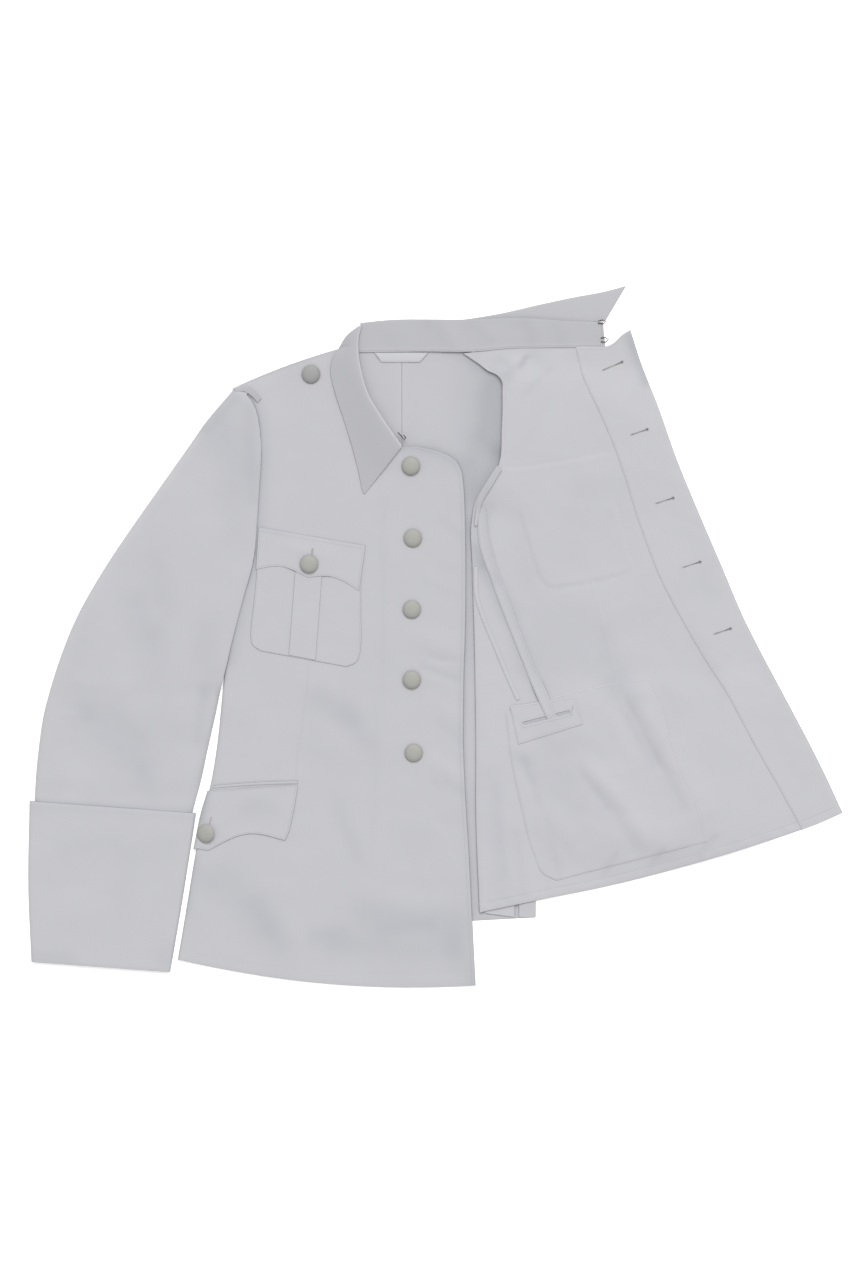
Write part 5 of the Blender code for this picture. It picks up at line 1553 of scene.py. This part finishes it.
@dataclass(frozen=True)
class LeftSleeve:
    """The left sleeve and cuff, folded once under the opened front, as one layered form."""

    stations: Table = (
        # left x, y, right x, y, bottom, top
        (84, 180, 120, 258, 2.95, 5.4), (86, 178, 124, 257, 2.95, 6.2),
        (112, 162, 178, 243, 2.95, 6.2), (138, 142, 222, 205, 2.6, 5.5),
        (146, 100, 255, 150, 0, 4.5), (150, 50, 284, 84, 0, 4.5),
        (153, -19, 297, -31, 0, 4.5), (155, -62, 302, -70, 0, 4.6),
        (158, -80, 305, -88, 0, 6.7), (160, -140, 307, -148, 0, 6.8),
        (162, -192, 308, -197, 0, 6.4), (166, -201, 304, -206, 0, 4.6))
    section: Table = (
        # share across, share of the height: each side bulges twice, once for each layer
        (0.03, 1), (0.25, 1), (0.5, 1), (0.75, 1), (0.97, 1), (0.993, 0.93), (1, 0.76),
        (0.993, 0.58), (0.985, 0.5), (0.993, 0.42), (1, 0.25), (0.994, 0.08), (0.98, 0),
        (0.5, 0), (0.02, 0), (0.006, 0.08), (0, 0.25), (0.007, 0.42), (0.015, 0.5),
        (0.007, 0.58), (0, 0.76), (0.007, 0.93))

    def build(self, shop: Workshop) -> None:
        """A tube through the stations, drawn in and closed at both ends."""
        table = np.array(self.stations, float)
        station = shares(90, 0, len(table) - 1)
        rows = np.stack([np.interp(station, np.arange(len(table)), column) for column in table.T], axis=1)
        left, right, low, high = rows[:, :2], rows[:, 2:4], rows[:, 4:5] + 0.5, rows[:, 5:] - 0.5
        share, level = np.array(self.section).T
        inset = 0.5 / np.linalg.norm(right - left, axis=1)[:, None]
        places = between(left, right, inset + (1 - 2 * inset) * share)
        grid = np.dstack([places, low + (high - low) * level])
        shop.cloth("sleeve_left", grid, ["back_left", "floor"], closed=True, held="folded")


@dataclass(frozen=True)
class Collar:
    """Stand and leaf: turned down on the right, opened flat on the left."""

    stand_low: float = 1.6
    stand_over: float = 1.05  # how much higher it is where it laps over the opened front
    roll_heights: Edge = Edge((
        (0, 5.4, 0), (0.12, 6.2, 0), (0.34, 8.2, 0), (0.64, 8.6, 0), (0.88, 7, 0), (1, 5.9, 0)))
    roll_in: tuple[float, ...] = (2.6, 2.1, 1.6, 1.1, 0.75, 0.5)  # close columns beside the roll
    marks: tuple[Crease | Unevenness, ...] = (
        Crease(((-8, 340), (8, 326), (16, 312)), 6, -0.25), Unevenness(19, 34, 0.07),
        Crease(((96, 342), (104, 328), (106, 314)), 5, -0.22),
        Crease(((140, 340), (132, 328), (134, 316)), 6, 0.2))

    def stand_height(self, x: Array, y: Array) -> Array:
        """A little higher where the opened front joins it, with faint pressing marks."""
        rise = (OPEN_LAY.neck_height - self.stand_low) * smooth((x + 30) / 50)
        over = self.stand_over * smooth((x - 22) / 20) * smooth((174 - x) / 24)
        return self.stand_low + rise + over + total_relief(self.marks, x, y)

    def stand_tone(self, x: Array, y: Array) -> Array:
        """Painted shading on the stand, with painted light along the stitching of the lower edge."""
        return STAND_SHADING.at(x, y) + 0.09 * bell((STAND_BOTTOM.off(x, y) - 2) / 1.8)

    def leaf_tone(self, x: Array, y: Array) -> Array:
        """A painted highlight along the roll."""
        off = LEAF_ROLL.off(x, y)
        return 0.3 * bell(off / 1.3) + 0.06 * bell(off / 5)

    def leaf_floor(self, x: Array, y: Array) -> Array:
        """Leaf on the floor, its outer edge a little thinner."""
        return FLOOR_MID - 0.3 * (1 - rounded(LEAF_LEFT_OUTER.off(x, y) / 3))

    def build(self, shop: Workshop) -> None:
        """Makes both stands and both leaf halves."""
        down = shares(180)
        back = (1 - down)[:, None]
        places = between(STAND_TOP.at(down) + (-3.5, 0) * back,
                         STAND_BOTTOM.at(down) + (-6, 0) * back ** 4, shares(20))
        grid = roll_edges(with_height(places, self.stand_height), 0.25, 1.8)
        rows = [*edge_stitches(grid, "r", 2.2, (2, 3), 0.72),
                *edge_stitches(grid, "b", 2.4, (2, 2), 0.72)]
        shop.cloth("collar_stand_left", grid, ["back_left", "collar_leaf_left"], finish="stand",
                   sewn=[shop.sewing("stitching_stand", rows)], tone=self.stand_tone, rim=0.1)
        grid = laid(LEAF_LEFT_OUTER, LEAF_LEFT_INNER, 180, 20, self.leaf_floor)
        shop.cloth("collar_leaf_left", grid, ["floor"], finish="open_leaf")
        self._right(shop)

    def _right(self, shop: Workshop) -> None:
        """The turned-down half and the stand below it."""
        down, across = shares(130), shares(7)
        roll_height = self.roll_heights.at(down)[:, :1]
        places = between(NECK_SEAM.at(down), STAND_ROLL.at(down), across)
        foot = RIGHT_LAY.form(places[:, :, 0], places[:, :, 1])[:, :1]
        foot = np.minimum(foot, roll_height - 2.8)
        grid = np.dstack([places, foot + (roll_height - 2 - foot) * across])
        shop.cloth("collar_stand_right", grid, ["front_right"], finish="collar")
        down = shares(170)
        roll_height = self.roll_heights.at(down)[:, :1]
        outer, roll = LEAF_OUTER.at(down), LEAF_ROLL.at(down)
        width = np.linalg.norm(roll - outer, axis=1)[:, None]
        wide = shares(30)[None, :-1] * (1 - self.roll_in[0] / width)
        share = np.concatenate([wide, 1 - np.array(self.roll_in)[None, :] / width], axis=1)
        places = between(outer, roll, share)
        x, y = places[:, :, 0], places[:, :, 1]
        soft = 1 - smooth((share - 0.6) / 0.4)
        lying = RIGHT_LAY.form(x, y) + 1.6 + soft * Unevenness(23, 45, 0.12).relief(x, y)
        z = lying + (roll_height - lying) * smooth(share * 0.75 + 0.25 * share ** 2)
        drop = 1.5 * (1 - rounded(((1 - share) * width - 0.5) / 2.1))
        shop.cloth("collar_leaf_right", np.dstack([places, z - drop]),
                   ["front_right", "collar_stand_right"], finish="collar", held="folded",
                   tone=self.leaf_tone, rim=0.14)


def scallop(place: Array, depth: float) -> Array:
    """Lower edge of a pocket flap above its corner line: two hollows and a point between."""
    return 12 * place * (1 - place) + depth * np.abs(np.sin(2 * math.pi * place)) ** 1.2


@dataclass(frozen=True)
class BreastPocket:
    """Patch pocket with a box pleat and a scalloped flap."""

    left: Edge = Edge((
        (0, -192.5, 92), (0.25, -193, 66), (0.5, -195.5, 38), (0.75, -198.5, 12), (0.87, -199, 0),
        (0.94, -197, -9), (1, -188, -15)))
    right: Edge = Edge((
        (0, -79.5, 71), (0.25, -80, 45), (0.5, -80, 20), (0.8, -80, -8), (0.9, -81.5, -19),
        (0.96, -86, -28), (1, -96, -32)))
    pleat_left: Edge = Edge(((0, -150.5, 79), (1, -158, -19.5)))
    pleat_right: Edge = Edge(((0, -121.5, 74), (1, -129, -25)))
    flap_left: Edge = Edge(((0, -190.5, 119), (1, -193.5, 73)))
    flap_right: Edge = Edge(((0, -75, 99), (1, -82, 50)))
    flap_depth: float = 6.5
    stub: tuple[float, ...] = (-133.5, 86, -132, 96)

    def height(self, x: Array, y: Array) -> Array:
        """The bag of the pocket, a little full."""
        full = 0.5 * bell((x + 138) / 44) * bell((y - 26) / 40)
        return RIGHT_LAY.soft(x, y) + ON_PANEL + full + Unevenness(31, 24, 0.05).relief(x, y)

    def build(self, shop: Workshop) -> None:
        """Makes the pocket, the pleat and the flap, higher where it goes over the pleat."""
        grid = laid(self.left, self.right, 64, 66, self.height)
        shop.patch("breast_pocket_right", grid, ["front_right"], "breast_pocket",
                   edge_stitches(grid, "lbr", 1.6, (1.5, 1.5), 0.33), tone=RIGHT_SHADING.at)
        grid = laid(self.pleat_left, self.pleat_right, 50, 16, raised(self.height, ON_PATCH))
        shop.patch("breast_pleat_right", grid, ["breast_pocket_right"])
        down, across = shares(30)[:, None], shares(76)
        places = between(self.flap_left.at(down[:, 0]), self.flap_right.at(down[:, 0]), across)
        places[:, :, 1] += down * scallop(across, self.flap_depth)
        x, y = places[:, :, 0], places[:, :, 1]
        over_pleat = smooth(2.1 - abs(x + 136.5) / 14)
        lift = 0.1 + (0.7 + 0.8 * over_pleat) * smooth(down / 0.45)
        grid = np.dstack([places, self.height(x, y) + lift + Unevenness(33, 22, 0.04).relief(x, y)])
        rows = [*edge_stitches(grid, "b", 2, (1.8, 1.8)), *edge_stitches(grid, "lr", 2, (3.5, 1.5)),
                *edge_stitches(grid, "t", 4.2, (2, 2))]
        line = on_cloth(np.array([self.stub[:2], self.stub[2:]]), RIGHT_LAY.soft, ON_PANEL + 2.35)
        shop.patch("breast_flap_right", grid, ["breast_pocket_right", "breast_pleat_right"],
                   "breast_flap", rows + bar_tacks(line, (1, -0.1, 0), 0), tone=RIGHT_SHADING.at)


@dataclass(frozen=True)
class SkirtPocket:
    """Welt and scalloped flap; the flap goes on round the side fold."""

    welt_left: Edge = Edge(((0, -239, -159.5), (1, -240, -163.5)))
    welt_right: Edge = Edge(((0, -148, -154.5), (1, -148.5, -158.5)))
    fold: Edge = Edge(((0, -246, -166), (0.36, -252.8, -191), (0.9, -260, -229), (1, -261.3, -236)))
    end: Edge = Edge(((0, -148, -159.5), (0.5, -152.5, -187), (0.85, -158.5, -212), (1, -162, -219.5)))
    strip: Table = ((0, 74, 0.5, 0), (1, 74, 0.5, 0))
    turned: float = 0.437  # how much of the flap has turned under the side fold
    depth: float = 11.3
    strip_cells: int = 16
    stub: tuple[float, ...] = (-243.5, -203, -241.5, -194)

    def height(self, x: Array, y: Array) -> Array:
        """The flap on the front."""
        return RIGHT_LAY.form(x, y) + 1.35 + Unevenness(37, 26, 0.06).relief(x, y)

    def build(self, shop: Workshop) -> None:
        """Makes the welt, its dark stitching and the flap."""
        grid = laid(self.welt_left, self.welt_right, 5, 60, raised(RIGHT_LAY.soft, ON_PANEL), (1, 1))
        row = stitches(edge_line(grid, "t", 0.9, (0.6, 0.6)), 2.4, 1.3, 0.3, 0.36)
        shop.cloth("skirt_welt_right", roll_edges(grid, 0.2, 1.2, "tb"), ["front_right"], wall=PATCH,
                   sewn=[shop.sewing("stitching_skirt_welt", [row], dark=True)])
        panel = FoldedPanel(self.fold, self.end, self.height, self.strip, 5, fall=0.1)
        down, across = shares(32), shares(54)
        grid = panel.grid(down, across, self.strip_cells)
        strip = shares(self.strip_cells + 1)[:-1]
        place = np.concatenate([self.turned * strip, np.full(TURNS, self.turned),
                                self.turned + (1 - self.turned) * across])
        grid[:, :, 1] += down[:, None] * scallop(place, self.depth)
        face = grid[:, self.strip_cells + TURNS:]
        line = on_cloth(np.array([self.stub[:2], self.stub[2:]]), self.height)
        rows = [*edge_stitches(face, "b", 2, (1, 2)), *edge_stitches(face, "r", 2, (2, 2)),
                *edge_stitches(face, "t", 1.6, (1, 2)), *bar_tacks(line, (1, 0, 0), 0.45)]
        shop.patch("skirt_flap_right", grid, ["front_right"], "skirt_flap", rows, held="folded",
                   tone=RIGHT_SHADING.at)


@dataclass(frozen=True)
class InsidePocket:
    """The pocket bag inside the left skirt, the slotted patch, the straps and the armhole tape."""

    bag_left: Edge = Edge((
        (0, 76, -82), (0.28, 83, -137), (0.55, 94, -188), (0.82, 108, -238), (0.93, 117, -256),
        (1, 131, -263)))
    bag_right: Edge = Edge((
        (0, 232, -45), (0.2, 248, -81), (0.46, 260, -129), (0.73, 280, -174), (1, 294, -221)))
    patch_corners: Table = ((81, -75), (151, -64.5), (160, -94), (90, -116))
    patch_tack: Table = ((146.5, -84.5), (149, -74))
    slot_ends: Table = ((96, -93.5), (144, -81))
    slot_half: float = 1.9
    strap_left: Edge = Edge((
        (0, 45, 137), (0.15, 48, 99), (0.31, 60, 63), (0.48, 75, 22), (0.66, 91, -18), (0.84, 107, -58),
        (1, 121, -89)))
    strap_right: Edge = Edge((
        (0, 54, 143), (0.15, 60, 104), (0.31, 71, 66), (0.48, 85.5, 25), (0.66, 101, -16),
        (0.84, 118.5, -55), (1, 132, -86.5)))
    strand: Edge = Edge((
        (0, 44, 76), (0.2, 45, 45), (0.33, 50, 27), (0.6, 65, -10), (0.85, 80, -46), (1, 90, -68)))
    strand_half: tuple[float, float] = (2.2, 0.5)
    over_patch: tuple[float, float] = (0.76, 0.1)  # share down the strap where it climbs, and how fast
    into_slot: tuple[float, float] = (0.975, 0.025)  # the same for its end in the slot
    tape_outer: Edge = Edge(((0, 67, 185), (0.3, 55.5, 167), (0.6, 46.5, 150), (1, 42.6, 121)))
    tape_inner: Edge = Edge(((0, 72, 180), (0.3, 60, 160), (0.6, 51, 145), (1, 45, 119)))

    def height(self, x: Array, y: Array) -> Array:
        """The bag on the front."""
        return OPEN_LAY.soft(x, y) + ON_PANEL + Unevenness(41, 23, 0.06).relief(x, y)

    def tone(self, x: Array, y: Array) -> Array:
        """Painted shading on the bag, with painted shade where it shows through the slot."""
        return OPEN_SHADING.at(x, y) - 0.16 * bell(distance(x, y, self.slot_ends) / 2.4)

    def build(self, shop: Workshop) -> None:
        """Makes the bag, the patch, the straps and the tape."""
        grid = laid(self.bag_left, self.bag_right, 84, 72, self.height, (5, 0))
        grid = roll_edges(grid, 0.2, 1.8)
        shop.patch("pocket_bag_left", grid, ["front_left"], "pocket_bag",
                   edge_stitches(grid, "tlbr", 1.6, (1.6, 1.6), 0.33), finish="inside",
                   tone=self.tone, rim=-0.18)
        self._patch(shop)
        self._straps(shop)

    def _patch(self, shop: Workshop) -> None:
        """A patch whose points run in rings from its outline to the slot."""
        line = cut_line(np.array([*self.patch_corners, self.patch_corners[0]], float))
        outline = line[shares(181, 0, len(line) - 1).astype(int)[:-1]]
        start, end = np.array(self.slot_ends, float)
        way = (end - start) / np.linalg.norm(end - start)
        along = np.clip((outline - start) @ way, 0, np.linalg.norm(end - start))
        spine = start + along[:, None] * way
        out = outline - spine
        slot = spine + out / np.linalg.norm(out, axis=1)[:, None] * self.slot_half
        share = np.concatenate([shares(12, 0, 0.9), [0.95, 1]])[:, None, None]
        height = raised(self.height, ON_PATCH)
        grid = with_height(outline[None] * (1 - share) + slot[None] * share, height)
        near = np.linalg.norm(grid[:, :, :2] - slot[None], axis=2)
        grid[:, :, 2] += 0.2 * bell((near - 1.2) / 1.2)
        rows = [*edge_stitches(grid, "t", 1.8, lift=0.33), *edge_stitches(grid, "b", 2.4, lift=0.33),
                stitches(on_cloth(self.patch_tack, height), 1, 1.5, 0.4, 0.4)]
        shop.patch("slot_patch_left", grid, ["pocket_bag_left", "front_left"], "slot_patch", rows,
                   finish="inside", closed=True, tone=OPEN_SHADING.at, rim=-0.15)

    def _straps(self, shop: Workshop) -> None:
        """The front strap with stitched edges, the thin strand and the armhole tape."""
        down, across = shares(120), shares(12)
        grid = laid(self.strap_left, self.strap_right, 120, 12, OPEN_LAY.soft)
        climb, dive = (smooth((down - at) / reach) for at, reach in (self.over_patch, self.into_slot))
        over = 2 * ON_PATCH * climb - 0.9 * dive
        ridge = 0.22 * bell((abs(across - 0.5) - 0.36) / 0.1)
        grid[:, :, 2] += ON_PANEL + 0.1 + over[:, None] + ridge
        grid = roll_edges(grid, 0.35, 1.4, "lr")
        shop.patch("strap_front_left", grid, ["front_left", "slot_patch_left"], "strap",
                   edge_stitches(grid, "lr", 1.7, (2, 2)), finish="inside",
                   tone=STRAP_SHADING.at, rim=0)
        path = self.strand.at(down)
        places = between(path - self.strand_half, path + self.strand_half, shares(7))
        grid = with_height(places, raised(OPEN_LAY.soft, ON_PANEL + 0.1))
        shop.patch("strap_rear_left", roll_edges(grid, 0.4, 1.5, "lr"), ["front_left"],
                   finish="inside", rim=0.05)
        grid = laid(self.tape_outer, self.tape_inner, 40, 9, raised(OPEN_LAY.soft, 2 * ON_PANEL))
        shop.patch("armhole_tape_left", roll_edges(grid, 0.3, 1.3, "lr"), ["front_left"],
                   finish="back", tone=STRAP_SHADING.at, rim=0)


@dataclass(frozen=True)
class Loops:
    """Hanger loop in the neck seam and the loop at the shoulder."""

    hanger_left: Edge = Edge(((0, -66, 307.4), (1, -58, 297)))
    hanger_right: Edge = Edge(((0, -7, 307.4), (1, -16, 297)))
    upper: Edge = Edge(((0, -216.5, 267.5), (0.4, -205.5, 270.5), (0.7, -196.5, 265.5), (1, -187.5, 257.5)))
    lower: Edge = Edge(((0, -215.5, 264), (0.4, -205, 264.5), (0.7, -197.5, 259.5), (1, -191.5, 252.5)))

    def hanger_height(self, x: Array, y: Array) -> Array:
        """On the seams of the neck, a little full."""
        return 1.5 + 0.35 * bell((y - 302.5) / 4)

    def build(self, shop: Workshop) -> None:
        """Makes both loops."""
        grid = laid(self.hanger_left, self.hanger_right, 12, 50, self.hanger_height)
        shop.patch("hanger_loop", grid, ["back_right", "back_left"], "hanger_loop",
                   edge_stitches(grid, "lbr", 1.5, (1, 1)), finish="loop")
        grid = laid(self.upper, self.lower, 30, 9, raised(RIGHT_LAY.form, 1.9))
        grid[:, :, 2] -= 0.75 * smooth((shares(30) - 0.68) / 0.3)[:, None]
        shop.patch("shoulder_loop_right", roll_edges(grid, 0.4, 1.6), ["front_right"],
                   finish="collar", rim=0)


@dataclass(frozen=True)
class Buttons:
    """Domed metal buttons with a pebbled face, a plain rim and a shank."""

    profile: Edge = Edge((
        # share along the profile, distance from the middle, height
        (0, 0.01, 4.4), (0.1, 2, 4.34), (0.2, 4, 4.17), (0.32, 5.9, 3.84), (0.45, 7.4, 3.38),
        (0.58, 8.6, 2.75), (0.68, 9.25, 2.2), (0.72, 9.3, 2.05), (0.77, 9.75, 1.8), (0.84, 9.95, 1.4),
        (0.9, 9.7, 1), (1, 9.2, 0.7)))
    base: Table = ((6, 0.7), (3, 0.7), (2.6, 0), (1.2, 0), (0.01, 0))
    places: tuple[tuple[str, float, float, float, float], ...] = (
        # solid, x, y, tilt in degrees, thickness of the cloth under it
        ("front_button_1", -26, 185, 0, 0), ("front_button_2", -24, 107, 0, 0),
        ("front_button_3", -25, 30, 0, 0), ("front_button_4", -25, -46, 0, 0),
        ("front_button_5", -23, -125, 0, 0), ("shoulder_button_right", -134, 284, 0, 0),
        ("breast_button_right", -136, 79, 0, 2.9), ("skirt_button_right", -247.5, -212, -14, 1.5))
    turns: int = 72
    rings: int = 30
    clear: float = 0.2  # space between the foot and the cloth

    def surface(self) -> Surface:
        """One button standing on z = 0: turned profile with its base and shank."""
        line = np.concatenate([self.profile.at(shares(self.rings)), self.base])
        angle = np.linspace(0, 2 * math.pi, self.turns, endpoint=False)[::-1]
        grid = np.dstack([line[:, :1] * np.cos(angle), line[:, :1] * np.sin(angle),
                          np.broadcast_to(line[:, 1:], (len(line), self.turns))])
        index = np.arange(len(line) * self.turns).reshape(len(line), self.turns)
        return Surface(grid.reshape(-1, 3), grid_quads(wrapped(index, True)),
                       grid[:, :, :2].reshape(-1, 2))

    def build(self, shop: Workshop) -> None:
        """Sets a button on the cloth at each place."""
        one = self.surface()
        for name, x, y, tilt, layers in self.places:
            around = np.array([(x + dx, y + dy) for dx in (-3, 0, 3) for dy in (-3, 0, 3)], float)
            foot = RIGHT_LAY.form(*around.T).max() + PANEL / 2 + layers + self.clear
            turn = math.radians(tilt)
            spin = np.array([(math.cos(turn), 0, math.sin(turn)), (0, 1, 0),
                             (-math.sin(turn), 0, math.cos(turn))])
            finish = shop.dull_metal if name.startswith("shoulder") else shop.metal
            shop.piece("metal_" + name, replace(one, corners=one.corners @ spin.T + (x, y, foot)),
                       finish, Slot.BUTTON, [name])


# ---- studio
@dataclass(frozen=True)
class Studio:
    """Pale floor, soft light from above and the camera straight above the tunic."""

    sky: float = 0.72
    sun: float = 2.29
    sun_way: tuple[float, float] = (58.5, -9)  # degrees above the floor, and right of the top
    sun_size: float = 44
    floor_level: float = 0.9
    floor_glow: float = 0.35
    floor_half: float = 6  # metres
    floor_below: float = 0.00035
    lens: float = 150
    sensor: float = 36
    focus_height: float = 0.005  # metres above the floor where the field is framed

    def build(self) -> None:
        """Makes the floor, the lights and the camera."""
        mesh = bpy.data.meshes.new("floor")
        half, below = self.floor_half, -self.floor_below
        mesh.from_pydata([(-half, -half, below), (half, -half, below), (half, half, below),
                          (-half, half, below)], [], [(0, 1, 2, 3)])
        mesh.materials.append(PlainFinish("pale_floor", self.floor_level, roughness=0.9,
                                          glow=self.floor_glow).make())
        placed("floor", mesh)
        world = bpy.data.worlds.new("soft_room")
        world.use_nodes = True
        sky = world.node_tree.nodes["Background"]
        sky.inputs["Color"].default_value = (1, 1, 1, 1)
        sky.inputs["Strength"].default_value = self.sky
        bpy.context.scene.world = world
        lamp = bpy.data.lights.new("window", "SUN")
        lamp.energy = self.sun
        lamp.angle = math.radians(self.sun_size)
        rise, right = self.sun_way
        placed("window", lamp).rotation_euler = (math.radians(rise - 90), 0, math.radians(right))
        self._camera()
        bpy.context.scene.view_settings.view_transform = "Standard"

    def _camera(self) -> None:
        """A long lens that frames exactly the photograph's field."""
        data = bpy.data.cameras.new("camera")
        data.lens, data.sensor_width, data.sensor_fit = self.lens, self.sensor, "AUTO"
        away = PHOTO_ROWS * PIXEL * MM * self.lens / self.sensor
        data.clip_end = 4 * away
        camera = placed("camera", data)
        camera.location = (FRAME_CENTRE[0] * MM, FRAME_CENTRE[1] * MM, away + self.focus_height)
        bpy.context.scene.camera = camera


def main() -> None:
    """Loads the frame, dresses the tunic, sets up the studio and logs the sizes."""
    logging.basicConfig(level=logging.INFO, format="%(message)s")
    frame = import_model()
    shop = Workshop()
    Studio().build()
    for part in (Back(), LeftSleeve(), RightFront(), OpenedLeftFront(), RightSleeve(), Collar(),
                 BreastPocket(), SkirtPocket(), InsidePocket(), Loops(), Buttons()):
        part.build(shop)
        LOG.info("%s is dressed", type(part).__name__)
    for name in ("collar_hook", "collar_eye_1", "collar_eye_2"):
        for slot in frame["nodes"][name].material_slots:
            slot.material = shop.wire
        LOG.info("%s keeps its solid", name)


if __name__ == "__main__":
    main()
